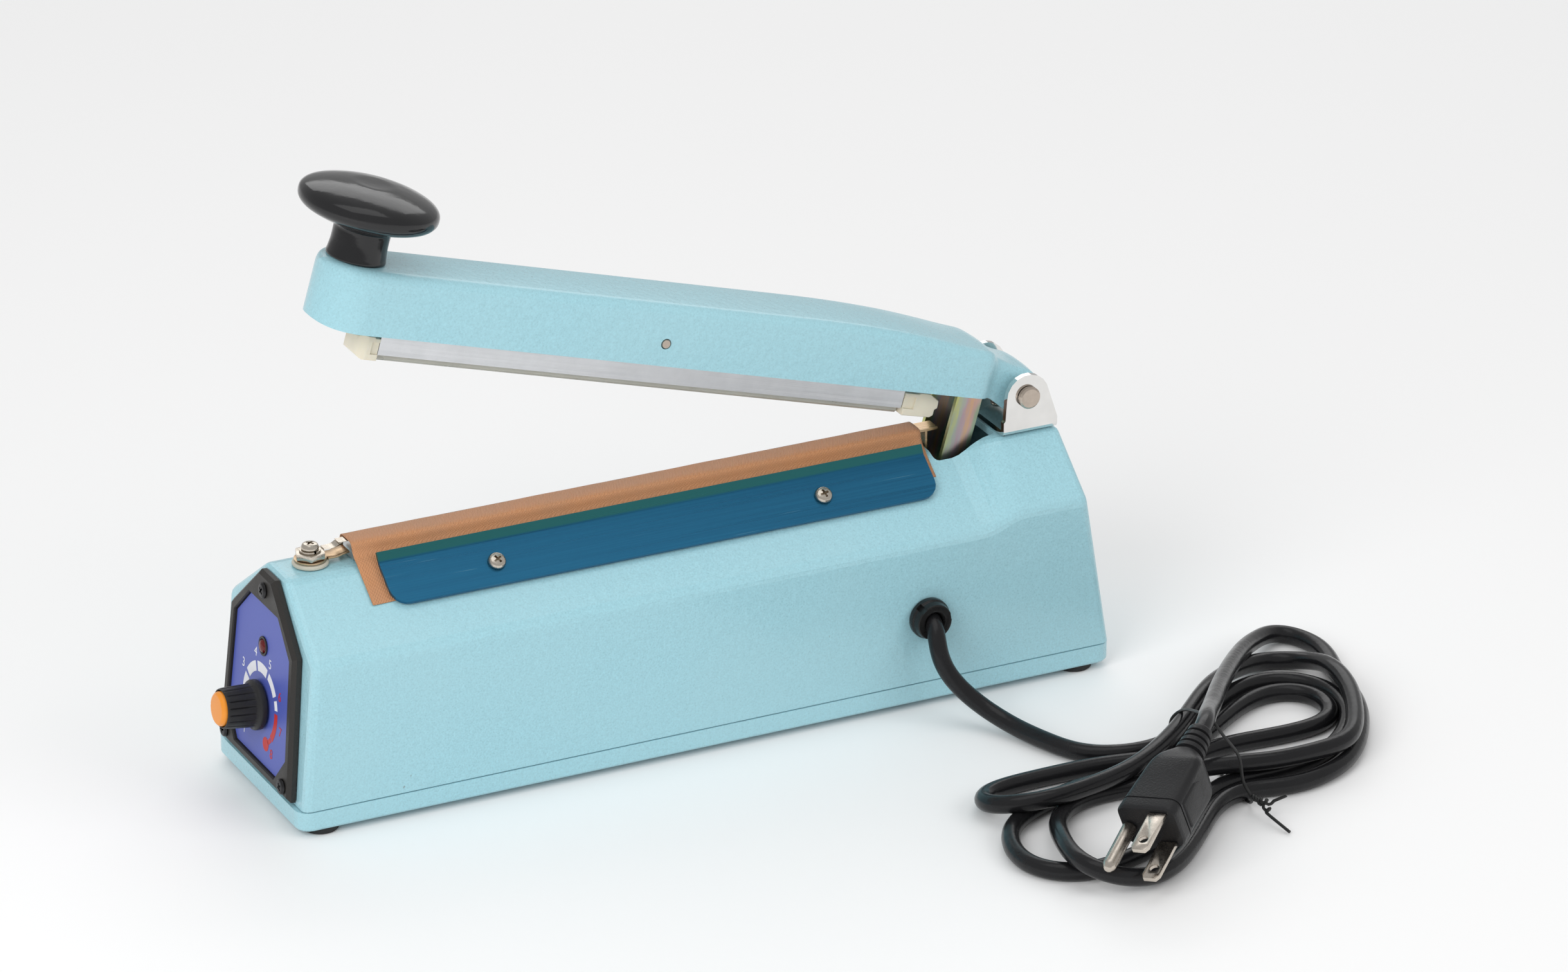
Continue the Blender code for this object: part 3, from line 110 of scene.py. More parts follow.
# ---- finishes ----
class Finish:
    """A Principled material built node by node; lengths are metres of the row frame."""

    def __init__(self, name, colour, roughness, metallic=0.0):
        self.material = bpy.data.materials.new("finish_" + name)
        self.material.use_nodes = True
        self.tree = self.material.node_tree
        self.shader = self.tree.nodes["Principled BSDF"]
        self.here = self.add("ShaderNodeTexCoord").outputs["Object"]
        self.set("Base Color", colour)
        self.set("Roughness", roughness)
        self.set("Metallic", metallic)

    def add(self, kind, inputs=None, **fields):
        node = self.tree.nodes.new(kind)
        for name, value in fields.items():
            setattr(node, name, value)
        for key, value in (inputs or {}).items():
            self.give(node.inputs[key], value)
        return node

    def give(self, socket, value):
        if isinstance(value, bpy.types.NodeSocket):
            self.tree.links.new(value, socket)
        elif socket.type == "RGBA" and len(value) == 3:
            socket.default_value = (*value, 1.0)
        else:
            socket.default_value = value

    def set(self, name, value):
        self.give(self.shader.inputs[name], value)
        return self

    def seen_from(self, matrix):
        """Coordinates in the frame of a matrix, in metres."""
        return self.add("ShaderNodeMapping", {
            "Vector": self.here, "Location": matrix.translation,
            "Rotation": matrix.to_euler()[:]}, vector_type="TEXTURE").outputs[0]

    def scaled(self, scale, vector=None):
        return self.add("ShaderNodeMapping", {"Vector": vector or self.here, "Scale": scale}).outputs[0]

    def noise(self, scale, detail=2.0, roughness=0.5, vector=None):
        return self.add("ShaderNodeTexNoise", {
            "Vector": vector or self.here, "Scale": scale, "Detail": detail,
            "Roughness": roughness}).outputs["Fac"]

    def cells(self, scale):
        return self.add("ShaderNodeTexVoronoi", {"Vector": self.here, "Scale": scale},
                        feature="SMOOTH_F1").outputs["Distance"]

    def calc(self, operation, a, b=0.0):
        return self.add("ShaderNodeMath", {0: a, 1: b}, operation=operation).outputs[0]

    def span(self, value, low, high, to_low=0.0, to_high=1.0):
        return self.add("ShaderNodeMapRange", {
            0: value, 1: low, 2: high, 3: to_low, 4: to_high}).outputs[0]

    def ramp(self, value, *stops):
        node = self.add("ShaderNodeValToRGB", {"Fac": value})
        elements = node.color_ramp.elements
        for k, (place, colour) in enumerate(stops):
            item = elements[k] if k < 2 else elements.new(place)
            item.position = place
            item.color = (*colour, 1.0)
        return node.outputs["Color"]

    def mix(self, fac, a, b):
        """The colour a where fac is 0 and b where it is 1."""
        node = self.add("ShaderNodeMix", data_type="RGBA")
        self.give(node.inputs[0], fac)
        self.give(node.inputs[6], a)
        self.give(node.inputs[7], b)
        return node.outputs[2]

    def colours(self, fac, a, b):
        return self.set("Base Color", self.mix(fac, a, b))

    def gloss(self, value, low, high, to_low, to_high):
        return self.set("Roughness", self.span(value, low, high, to_low, to_high))

    def axis(self, vector, name):
        return self.add("ShaderNodeSeparateXYZ", {0: vector}).outputs[name]

    def bump(self, height, depth, strength=1.0):
        """Raises the surface by height times depth, in metres."""
        node = self.add("ShaderNodeBump", {"Height": height, "Distance": depth, "Strength": strength})
        before = self.shader.inputs["Normal"]
        if before.is_linked:
            self.tree.links.new(before.links[0].from_socket, node.inputs["Normal"])
        return self.set("Normal", node.outputs[0])


def tone(colour, factor):
    return tuple(min(1.0, c * factor) for c in colour)


HINGE = Vector((276.0, 0.0, 97.6))       # the hinge pin's middle, from which the arm's own frame starts
OPEN_ANGLE = math.radians(16.1)
ARM = Matrix.Translation(HINGE) @ Matrix.Rotation(OPEN_ANGLE, 4, "Y")
ARM_ROW = LOCAL @ ARM
PANEL_LEAN = 0.09
BEZEL_X0 = -2.7
PANEL_NORMAL = Vector((-1.0, 0.0, PANEL_LEAN)).normalized()
PANEL_UP = Vector((PANEL_LEAN, 0.0, 1.0)).normalized()
PANEL = frame_of((0.0, -1.0, 0.0), PANEL_UP, PANEL_NORMAL, (BEZEL_X0, 0.0, 0.0))


def unscaled(matrix):
    """The same frame without its scale, for texture coordinates in metres."""
    return Matrix.LocRotScale(matrix.translation, matrix.to_quaternion(), None)


def on_panel(across, rise, out=0.0):
    """The panel's frame moved across it, up it and out from it."""
    return PANEL @ Matrix.Translation((across, rise, out))


# hammertone enamel: soft orange peel, a fine mottle and a few specks of dust
PAINT_COLOUR = (0.352, 0.630, 0.710)
paint = Finish("hammertone", PAINT_COLOUR, 0.33)
peel = paint.cells(430.0)
grain = paint.noise(1500.0, 3.0, 0.6)
cloudy = paint.noise(16.0, 2.0)
mottle = paint.mix(paint.span(grain, 0.35, 0.7), tone(PAINT_COLOUR, 0.90), tone(PAINT_COLOUR, 1.07))
mottle = paint.mix(paint.span(cloudy, 0.35, 0.65, 0.0, 0.30), mottle, (0.39, 0.63, 0.69))
specks = paint.span(paint.noise(210.0, 1.0), 0.80, 0.83)
paint.colours(specks, mottle, (0.16, 0.12, 0.09))
paint.gloss(grain, 0.3, 0.7, 0.25, 0.42)
paint.set("Coat Weight", 0.35)
paint.set("Coat Roughness", 0.12)
paint.bump(peel, 0.00030, 0.55)
paint.bump(grain, 0.00010, 0.5)


def moulded(name, colour, roughness, grain_scale, grain_depth, spread=0.08):
    """Moulded plastic or rubber: a fine grain and slight changes of gloss."""
    finish = Finish(name, colour, roughness)
    fine = finish.noise(grain_scale, 3.0, 0.6)
    broad = finish.noise(90.0, 3.0)
    finish.colours(broad, tone(colour, 0.82), tone(colour, 1.2))
    finish.gloss(broad, 0.3, 0.7, roughness - spread, roughness + spread)
    finish.bump(fine, grain_depth)
    return finish


def metal(name, colour, roughness, along, matrix=None, depth=0.00004, spread=0.1):
    """Brushed metal: streaks much longer one way than across, given as scales of the three axes."""
    finish = Finish(name, colour, roughness, 1.0)
    vector = finish.seen_from(matrix) if matrix else finish.here
    streaks = finish.noise(1.0, 4.0, 0.65, finish.scaled(along, vector))
    stains = finish.noise(110.0, 4.0, 0.6)
    finish.colours(stains, tone(colour, 0.86), tone(colour, 1.1))
    finish.gloss(streaks, 0.3, 0.7, roughness - spread, roughness + spread)
    finish.bump(streaks, depth)
    return finish


bezel_plastic = moulded("bezel", (0.030, 0.028, 0.026), 0.42, 2600.0, 0.00012)
black_plastic = moulded("black_plastic", (0.020, 0.020, 0.021), 0.38, 2400.0, 0.00006)
gloss_black = moulded("gloss_black", (0.009, 0.009, 0.010), 0.13, 160.0, 0.00008, 0.05)
cord_pvc = moulded("cord", (0.010, 0.010, 0.011), 0.23, 420.0, 0.00009, 0.06)
plug_pvc = moulded("plug", (0.014, 0.014, 0.015), 0.36, 1500.0, 0.00012)
gland_pvc = moulded("gland", (0.010, 0.010, 0.010), 0.25, 800.0, 0.00006, 0.06)
for dull in (bezel_plastic, black_plastic, plug_pvc, cord_pvc, gland_pvc):
    dull.set("Specular IOR Level", 0.3)
foot_rubber = moulded("foot_rubber", (0.022, 0.022, 0.022), 0.75, 1800.0, 0.0001)
wire_tie = moulded("wire_tie", (0.012, 0.012, 0.012), 0.5, 900.0, 0.00004)
orange_plastic = moulded("orange_cap", (0.83, 0.29, 0.025), 0.33, 1500.0, 0.00004)
cream_plastic = moulded("cream", (0.80, 0.74, 0.60), 0.42, 700.0, 0.00005)
cream_plastic.set("Subsurface Weight", 0.25).set("Subsurface Radius", (0.004, 0.003, 0.0018))
silicone = moulded("silicone", (0.60, 0.59, 0.52), 0.34, 900.0, 0.00004)
silicone.set("Transmission Weight", 0.22)
silicone.set("Subsurface Weight", 0.3).set("Subsurface Radius", (0.004, 0.0035, 0.003))
washer_silicone = moulded("washer", (0.52, 0.50, 0.42), 0.35, 900.0, 0.00004)
washer_silicone.set("Subsurface Weight", 0.25).set("Subsurface Radius", (0.003, 0.003, 0.002))
lamp = moulded("lamp", (0.16, 0.004, 0.004), 0.14, 900.0, 0.00002, 0.03)
lamp.set("Transmission Weight", 0.35)
board_green = moulded("board", (0.02, 0.14, 0.05), 0.45, 1200.0, 0.00005)
enamel_wire = moulded("enamel_wire", (0.34, 0.09, 0.02), 0.35, 60.0, 0.00005)
dark_screw = metal("dark_screw", (0.05, 0.05, 0.052), 0.35, (900.0, 900.0, 900.0))
nickel = metal("nickel", (0.64, 0.58, 0.50), 0.24, (900.0, 900.0, 900.0))
chrome = metal("chrome", (0.80, 0.79, 0.77), 0.09, (160.0, 700.0, 160.0), depth=0.000015, spread=0.04)
pin_nickel = metal("pin", (0.62, 0.53, 0.45), 0.36, (700.0, 700.0, 700.0))
aluminium = metal("aluminium", (0.76, 0.77, 0.79), 0.38, (14.0, 2600.0, 2600.0), unscaled(ARM_ROW))
bar_aluminium = metal("bar_aluminium", (0.72, 0.72, 0.72), 0.4, (14.0, 2600.0, 2600.0))
laminations = metal("laminations", (0.22, 0.21, 0.20), 0.5, (30.0, 1500.0, 30.0))
brass = metal("brass", (0.60, 0.43, 0.27), 0.30, (60.0, 900.0, 900.0))
blade_metal = metal("blade", (0.62, 0.56, 0.49), 0.26, (300.0, 300.0, 900.0))

# label film: saturated blue with a faint grain
label = Finish("label", (0.075, 0.105, 0.42), 0.42)
label_grain = label.noise(2200.0, 2.0)
label.colours(label_grain, (0.070, 0.098, 0.40), (0.085, 0.118, 0.45))
label.bump(label_grain, 0.00002)
dial_white = moulded("dial_white", (0.74, 0.75, 0.80), 0.5, 2000.0, 0.00001)
dial_red = moulded("dial_red", (0.50, 0.022, 0.022), 0.5, 2000.0, 0.00001)

# iridescent zinc: bands across the width of the lever, blotched along it
zinc = Finish("zinc", (0.6, 0.6, 0.4), 0.3, 1.0)
lever_here = zinc.seen_from(unscaled(ARM_ROW))
LEVER_BAND = (-0.0220, -0.0123)      # the lever's two edges along the arm, in metres from the hinge
wander = zinc.noise(1.0, 3.0, 0.6, zinc.scaled((420.0, 60.0, 60.0), lever_here))
band = zinc.span(zinc.axis(lever_here, "X"), LEVER_BAND[0], LEVER_BAND[1])
band = zinc.calc("ADD", band, zinc.span(wander, 0.3, 0.7, -0.16, 0.16))
zinc.set("Base Color", zinc.ramp(band, (0.04, (0.60, 0.62, 0.26)), (0.24, (0.47, 0.52, 0.44)),
                                 (0.42, (0.56, 0.42, 0.46)), (0.60, (0.74, 0.47, 0.30)),
                                 (0.76, (0.66, 0.44, 0.40)), (0.95, (0.42, 0.50, 0.36))))
zinc.gloss(wander, 0.3, 0.7, 0.30, 0.46)
zinc.bump(wander, 0.00004)

# blue anodised clamp plates: long scratches, darker drawn streaks, a greener turned-up lip
anodised = Finish("anodised", (0.02, 0.15, 0.27), 0.32, 0.75)
drawn = anodised.noise(1.0, 4.0, 0.65, anodised.scaled((9.0, 900.0, 900.0)))
scratch = anodised.noise(1.0, 2.0, 0.5, anodised.scaled((30.0, 2600.0, 2600.0)))
blue = anodised.mix(anodised.span(drawn, 0.32, 0.68), (0.011, 0.105, 0.205), (0.020, 0.160, 0.300))
blue = anodised.mix(anodised.span(scratch, 0.70, 0.76, 0.0, 0.45), blue, (0.20, 0.42, 0.52))
LIP_Z = 0.0817           # height at which a clamp plate's lip turns up, in metres
lip_part = anodised.span(anodised.axis(anodised.here, "Z"), LIP_Z - 0.0003, LIP_Z + 0.0003)
anodised.colours(lip_part, blue, (0.028, 0.170, 0.175))
anodised.gloss(drawn, 0.3, 0.7, 0.24, 0.42)
anodised.bump(drawn, 0.00005)

# PTFE-coated glass cloth: fine twill in two slanting directions, slightly blotched
cloth = Finish("ptfe_cloth", (0.42, 0.20, 0.085), 0.48)
TWILL = 3600.0           # half waves of the weave to a metre
run = cloth.axis(cloth.here, "X")
climb = cloth.calc("SUBTRACT", cloth.axis(cloth.here, "Z"), cloth.axis(cloth.here, "Y"))
warp = cloth.calc("ADD", run, cloth.calc("MULTIPLY", climb, 0.55))
warp = cloth.calc("SINE", cloth.calc("MULTIPLY", warp, TWILL * math.pi))
weft = cloth.calc("SUBTRACT", climb, cloth.calc("MULTIPLY", run, 0.2))
weft = cloth.calc("SINE", cloth.calc("MULTIPLY", weft, TWILL * 1.6 * math.pi))
weave = cloth.calc("ADD", cloth.calc("MULTIPLY", warp, 0.65), cloth.calc("MULTIPLY", weft, 0.35))
blotch = cloth.noise(55.0, 3.0, 0.6)
tan = cloth.mix(cloth.span(weave, -0.8, 0.8), (0.54, 0.235, 0.100), (0.66, 0.315, 0.148))
cloth.colours(cloth.span(blotch, 0.35, 0.7, 0.0, 0.35), tan, (0.45, 0.27, 0.17))
cloth.gloss(weave, -1.0, 1.0, 0.55, 0.38)
cloth.set("Sheen Weight", 0.12)
cloth.bump(weave, 0.00012, 0.8)


# ---- mesh helpers ----
def rings_mesh(name, rings, matrix=None, closed=False):
    """A mesh through rings of equal length; its ends are capped, or joined to each other when closed."""
    count = len(rings[0])
    verts = [tuple(point) for ring in rings for point in ring]
    faces = []
    pairs = len(rings) if closed else len(rings) - 1
    for k in range(pairs):
        low = k * count
        high = ((k + 1) % len(rings)) * count
        for i in range(count):
            j = (i + 1) % count
            faces.append((low + i, low + j, high + j, high + i))
    if not closed:
        faces.append(tuple(range(count))[::-1])
        faces.append(tuple(range((len(rings) - 1) * count, len(rings) * count)))
    mesh = bpy.data.meshes.new(name)
    mesh.from_pydata(verts, [], faces)
    if matrix is not None:
        mesh.transform(matrix)
    bm = bmesh.new()
    bm.from_mesh(mesh)
    bmesh.ops.recalc_face_normals(bm, faces=bm.faces[:])
    bm.to_mesh(mesh)
    bm.free()
    return mesh


def prism_mesh(name, outline, axis, low, high, matrix=None):
    """Extrudes an outline along an axis; the outline holds the other two coordinates in x, y, z order."""
    k = "xyz".index(axis)
    rings = [[(*point[:k], along, *point[k:]) for point in outline] for along in (low, high)]
    return rings_mesh(name, rings, matrix)


def turned_mesh(name, profile, matrix, segments=64, ring=False):
    """Turns a (radius, height) profile about the local z axis; ring closes the profile on itself."""
    turns = [2.0 * math.pi * i / segments for i in range(segments)]
    rings = [[(*polar(radius, angle), height) for angle in turns] for radius, height in profile]
    return rings_mesh(name, rings, matrix, closed=ring)


def axis_frame(origin, direction):
    """A frame at origin whose z axis looks along direction."""
    return Matrix.Translation(Vector(origin)) @ Vector(direction).to_track_quat("Z", "Y").to_matrix().to_4x4()


def smooth_line(points, steps):
    """A Catmull-Rom line through points of any number of coordinates, steps to a span."""
    points = [Vector(p) for p in points]
    line = []
    for k in range(len(points) - 1):
        p0 = points[max(k - 1, 0)]
        p1 = points[k]
        p2 = points[k + 1]
        p3 = points[min(k + 2, len(points) - 1)]
        for step in range(steps):
            t = step / steps
            line.append(0.5 * ((2.0 * p1) + (p2 - p0) * t + (2.0 * p0 - 5.0 * p1 + 4.0 * p2 - p3) * t * t
                               + (3.0 * p1 - p0 - 3.0 * p2 + p3) * t * t * t))
    line.append(points[-1])
    return line


def evenly(line, spacing):
    """The same line with points at even spacing."""
    total = sum((b - a).length for a, b in zip(line, line[1:]))
    count = max(2, round(total / spacing))
    result = [line[0]]
    run_length = 0.0
    for a, b in zip(line, line[1:]):
        length = (b - a).length
        while len(result) < count and run_length + length >= total * len(result) / count:
            result.append(a.lerp(b, (total * len(result) / count - run_length) / length))
        run_length += length
    result.append(line[-1])
    return result


def eased(line, passes):
    """The same line with its bends eased; both ends stay where they are."""
    for _ in range(passes):
        line = [line[0]] + [(a + b * 2.0 + c) / 4.0 for a, b, c in zip(line, line[1:], line[2:])] + [line[-1]]
    return line


def rounded_profile(points, radius):
    """Rounds the inner corners of an open (radius, height) profile."""
    steps = 5
    points = [Vector(p) for p in points]
    result = [points[0]]
    for before, here, after in zip(points, points[1:], points[2:]):
        reach = min(radius, (here - before).length * 0.45, (after - here).length * 0.45)
        start = here + (before - here).normalized() * reach
        end = here + (after - here).normalized() * reach
        for k in range(steps + 1):
            t = k / steps
            result.append(start * (1.0 - t) ** 2 + here * 2.0 * t * (1.0 - t) + end * t * t)
    result.append(points[-1])
    return [tuple(p) for p in result]


def joined(name, meshes):
    """One mesh of several; where they overlap, they stay as they are."""
    bm = bmesh.new()
    for mesh in meshes:
        bm.from_mesh(mesh)
    result = bpy.data.meshes.new(name)
    bm.to_mesh(result)
    bm.free()
    return result


def carved(mesh, tool, operation="DIFFERENCE"):
    """A new mesh: the first one with the tool taken away, added (UNION) or kept in common (INTERSECT)."""
    host_object = bpy.data.objects.new("host", mesh)
    tool_object = bpy.data.objects.new("tool", tool)
    link(host_object)
    link(tool_object)
    modifier = host_object.modifiers.new("carve", "BOOLEAN")
    modifier.operation = operation
    modifier.solver = "EXACT"
    modifier.object = tool_object
    evaluated = host_object.evaluated_get(bpy.context.evaluated_depsgraph_get())
    result = bpy.data.meshes.new_from_object(evaluated)
    bpy.data.objects.remove(host_object)
    bpy.data.objects.remove(tool_object)
    return result


def bevel(mesh, width, segments=2, limit=30.0):
    """The same mesh with its edges sharper than limit degrees rounded."""
    bm = bmesh.new()
    bm.from_mesh(mesh)
    edges = [e for e in bm.edges if len(e.link_faces) == 2 and e.calc_face_angle(0.0) > math.radians(limit)]
    bmesh.ops.bevel(bm, geom=edges, offset=width, segments=segments, profile=0.5, affect="EDGES",
                    clamp_overlap=True)
    bm.to_mesh(mesh)
    bm.free()
    return mesh


def placed(obj, body, replaced):
    """Links an object and says its body and the CAD nodes that it stands for."""
    link(obj)
    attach(obj, body)
    if replaced:
        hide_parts(*replaced)
    return obj


def piece(name, mesh, finish, body, slot, *replaced, angle=35.0):
    """A finished piece from a mesh in local millimetres; edges sharper than angle degrees stay sharp."""
    mesh = mesh.copy()
    mesh.name = name
    mesh.transform(LOCAL)
    mesh.shade_smooth()
    mesh.set_sharp_from_angle(angle=math.radians(angle))
    mesh.materials.clear()
    mesh.materials.append(finish.material)
    return placed(bpy.data.objects.new(name, mesh), body, replaced)


def tube_piece(name, points, radius, finish, body, slot, *replaced, sides=6):
    """A round wire or cord along points in local millimetres."""
    curve = bpy.data.curves.new(name, "CURVE")
    curve.dimensions = "3D"
    curve.bevel_depth = radius * MM
    curve.bevel_resolution = sides
    curve.use_fill_caps = True
    spline = curve.splines.new("POLY")
    spline.points.add(len(points) - 1)
    for item, point in zip(spline.points, points):
        item.co = (*at(*point), 1.0)
    spline.use_smooth = True
    curve.materials.append(finish.material)
    return placed(bpy.data.objects.new(name, curve), body, replaced)


# ---- cord ----
CORD_D = 6.2
GLAND = Vector((229.0, -35.2, 33.5))          # where the gland meets the housing's side
PLUG_REAR = Vector((266.3, -155.5, 35.0))     # where the cord enters the plug
PLUG_FACE = Vector((233.5, -181.7, 19.5))     # the face that the blades stand on
PLUG_ROLL = math.radians(-10.3)
FLOOR_Z = CORD_D / 2.0 + 0.1      # a strand on the floor
OVER_Z = 9.6                      # a strand on another strand
LEAD = ((229.0, -42.0, 33.5), (228.8, -43.8, 33.2), (227.3, -45.6, 31.0), (226.2, -46.7, 27.2),
        (227.1, -48.4, 22.3), (229.8, -50.2, 16.8), (233.5, -53.0, 12.3), (237.7, -57.5, 8.1),
        (241.8, -63.5, 5.2), (245.6, -72.5, 3.6), (248.6, -81.0, 3.5), (250.4, -85.8, 3.5))


def on_floor(*points):
    return [(x, y, FLOOR_Z) for x, y in points]


def over(*points):
    return [(x, y, OVER_Z) for x, y in points]


ROUTE = list(LEAD)
# under the tie and round the third loop
ROUTE += on_floor((253.5, -92.8), (261.4, -99.6), (276.0, -103.0), (290.5, -98.8), (306.0, -87.8),
                  (320.0, -78.6), (332.0, -73.6), (342.5, -74.8), (350.6, -81.5), (354.4, -91.5),
                  (353.4, -102.6), (348.0, -112.6), (341.0, -121.2), (331.0, -129.0), (318.7, -134.0),
                  (305.5, -135.6), (292.0, -134.8))
# the large loop on the left
ROUTE += on_floor((280.5, -139.4), (268.0, -149.2), (254.6, -160.0), (242.0, -166.8), (230.2, -170.5),
                  (219.8, -172.5), (211.4, -170.9), (204.2, -165.4), (200.8, -156.2), (202.8, -144.4),
                  (208.6, -133.8), (216.8, -127.4), (226.6, -122.6), (238.0, -118.6), (248.0, -116.6),
                  (258.5, -117.6), (270.5, -119.6), (283.5, -115.6), (297.0, -111.4))
# the innermost loop on the right
ROUTE += on_floor((308.3, -111.4), (320.0, -112.4), (332.0, -112.4), (341.6, -110.0), (347.2, -103.8),
                  (348.6, -95.2), (345.6, -87.0), (337.0, -82.4), (325.6, -84.6), (313.6, -91.4),
                  (302.0, -99.4), (290.0, -106.2), (276.0, -110.2))
# the upper loop on the left, which comes back over the others
ROUTE += on_floor((264.2, -107.4), (251.7, -105.6), (235.5, -105.6), (221.5, -106.0), (213.0, -107.6))
ROUTE += [(207.6, -114.6, 4.4), (207.6, -124.0, 7.2)]
ROUTE += over((218.6, -131.8), (237.7, -129.8), (259.6, -123.3), (282.4, -108.3), (299.1, -92.8),
              (311.8, -81.0))
ROUTE += [(328.5, -67.1, 6.0), (345.3, -59.3, 3.2), (356.0, -64.6, 3.2), (358.6, -74.0, 6.4)]
ROUTE += over((357.4, -85.1), (355.3, -99.2), (346.6, -119.0), (334.0, -136.5), (318.0, -139.4),
              (304.4, -139.4), (293.0, -136.6), (283.0, -133.8))
ROUTE += [(272.0, -130.0, 7.0), (262.5, -127.2, 4.0)]
# the lowest loop on the left
ROUTE += on_floor((252.0, -124.8), (241.0, -125.2), (231.6, -129.2))
ROUTE += [(223.4, -138.4, 4.6), (215.6, -154.6, 8.2), (211.0, -171.4, 9.7), (213.2, -182.0, 9.0),
          (221.6, -186.8, 6.4), (233.5, -185.6, 3.8)]
ROUTE += on_floor((246.5, -178.4), (260.6, -165.0), (273.6, -151.4), (283.2, -144.4), (292.4, -142.6),
                  (303.5, -146.4), (316.8, -145.6), (332.0, -138.6), (344.6, -125.5), (351.0, -115.5),
                  (356.4, -105.5), (359.6, -95.0), (362.0, -82.0), (366.0, -70.0), (368.5, -57.0))
# up and over the bundle to the plug
ROUTE += [(361.6, -41.7, 3.2), (345.2, -52.1, 7.0), (327.1, -72.1, 13.0), (304.9, -101.1, 21.0),
          (284.5, -130.4, 29.4), (276.0, -142.5, 33.6), (270.0, -152.6, 36.7), tuple(PLUG_REAR)]

START_IN = (229.0, -38.2, 33.5)   # the cord starts inside the gland
EASE_PASSES = 24
cord_line = eased(evenly(smooth_line([START_IN] + ROUTE, 16), CORD_D * 0.28), EASE_PASSES)
cord = tube_piece("mains_cord", cord_line, CORD_D / 2.0, cord_pvc, "base", "cord", "cord_lead", "cord_hank")

# ---- plug ----
plug_axis = (PLUG_FACE - PLUG_REAR).normalized()
plug_side = Vector((0.0, 0.0, 1.0)).cross(plug_axis).normalized() * -1.0
plug_up = plug_axis.cross(plug_side) * -1.0
ground_way = plug_side * math.cos(PLUG_ROLL) + plug_up * math.sin(PLUG_ROLL)
blade_way = ground_way.cross(plug_axis).normalized()
PLUG = frame_of(blade_way, ground_way, plug_axis, PLUG_REAR)
PLUG_LENGTH = (PLUG_FACE - PLUG_REAR).length
BLADE_SPREAD = 6.35       # from the middle to each blade
BLADE_HALF = 3.15
BLADE_T = 1.5
BLADE_LONG = 17.2
EYE_R = 1.55              # the hole in a blade, and how far out from the plug's face it stands
EYE_OUT = 12.4
GROUND_R = 2.4            # the ground pin
GROUND_SHIFT = -4.6       # the blades' middle, from the plug's axis
GROUND_DROP = 11.9        # from the blades' middle to the ground pin


def oval(half, low, high, corner, along):
    """A rounded rectangle across the plug at a station along its axis; high is the ground pin's side."""
    ring = []
    for ca, cb, start in ((half - corner, low + corner, -90.0), (half - corner, high - corner, 0.0),
                          (-half + corner, high - corner, 90.0), (-half + corner, low + corner, 180.0)):
        for k in range(7):
            a, b = polar(corner, math.radians(start + 15.0 * k))
            ring.append((ca + a, cb + b, along))
    return ring


def plug_band(size, gaps):
    """A band round the plug between two distances back from its face."""
    return rings_mesh("band", [oval(*size, PLUG_LENGTH - gap) for gap in gaps], PLUG)


RIBS = 4
RIB_PITCH = 2.8
RIB_WIDTH = 1.7
RIB_DEPTH = 0.8
relief = [(-0.3, 3.6), (0.3, 4.1)]
for k in range(RIBS):
    start = 0.7 + RIB_PITCH * k
    size = 4.2 + 0.28 * k
    relief += [(start, size), (start + RIB_WIDTH, size + 0.1), (start + RIB_WIDTH + 0.3, size - RIB_DEPTH),
               (start + RIB_PITCH - 0.2, size - RIB_DEPTH)]
relief_rings = [oval(size, -size, size, size - 0.1, along) for along, size in relief]
# along, half width, low, high, corner
body_stations = ((12.4, 5.2, -5.3, 5.2, 4.8), (14.0, 6.0, -6.6, 5.8, 4.6), (16.5, 7.4, -8.4, 6.2, 4.2),
                 (20.0, 8.8, -10.3, 6.8, 3.4), (24.0, 9.0, -10.6, 7.6, 3.0), (33.0, 8.6, -10.5, 9.2, 3.2),
                 (PLUG_LENGTH - 1.6, 8.5, -10.5, 10.6, 3.4))
body_rings = [oval(*station[1:], station[0]) for station in smooth_line(body_stations, 4)]
face_rings = [oval(8.4, -10.4, 10.5, 3.3, PLUG_LENGTH - 0.7), oval(8.0, -10.0, 10.1, 3.0, PLUG_LENGTH - 0.1),
              oval(7.2, -9.2, 9.3, 2.6, PLUG_LENGTH)]
plug_mesh = rings_mesh("plug", relief_rings + body_rings + face_rings, PLUG)
groove_core = plug_band((8.25, -10.2, 9.85, 3.1), (6.2, 3.6))
plug_mesh = carved(plug_mesh, carved(plug_band((10.0, -12.0, 12.0, 3.6), (5.2, 4.6)), groove_core))
plug = piece("plug_moulding", plug_mesh, plug_pvc, "base", "black_plastic", "plug_body", angle=28.0)
# a six-sided grained panel stands a little proud of the flat side, away from the ground pin
grip_rings = []
for inset, side in ((0.0, -10.1), (0.0, -10.75), (0.5, -11.0)):
    wide = 5.4 - inset
    first = 25.6 + inset
    last = PLUG_LENGTH - 6.4 - inset
    outline = ((-wide * 0.6, first), (wide * 0.6, first), (wide, first + 3.0), (wide, last), (-wide, last),
               (-wide, first + 3.0))
    grip_rings.append([(a, side, along) for a, along in outline])
piece("plug_grip_panel", bevel(rings_mesh("grip", grip_rings, PLUG), 0.25), plug_pvc, "base", "black_plastic")

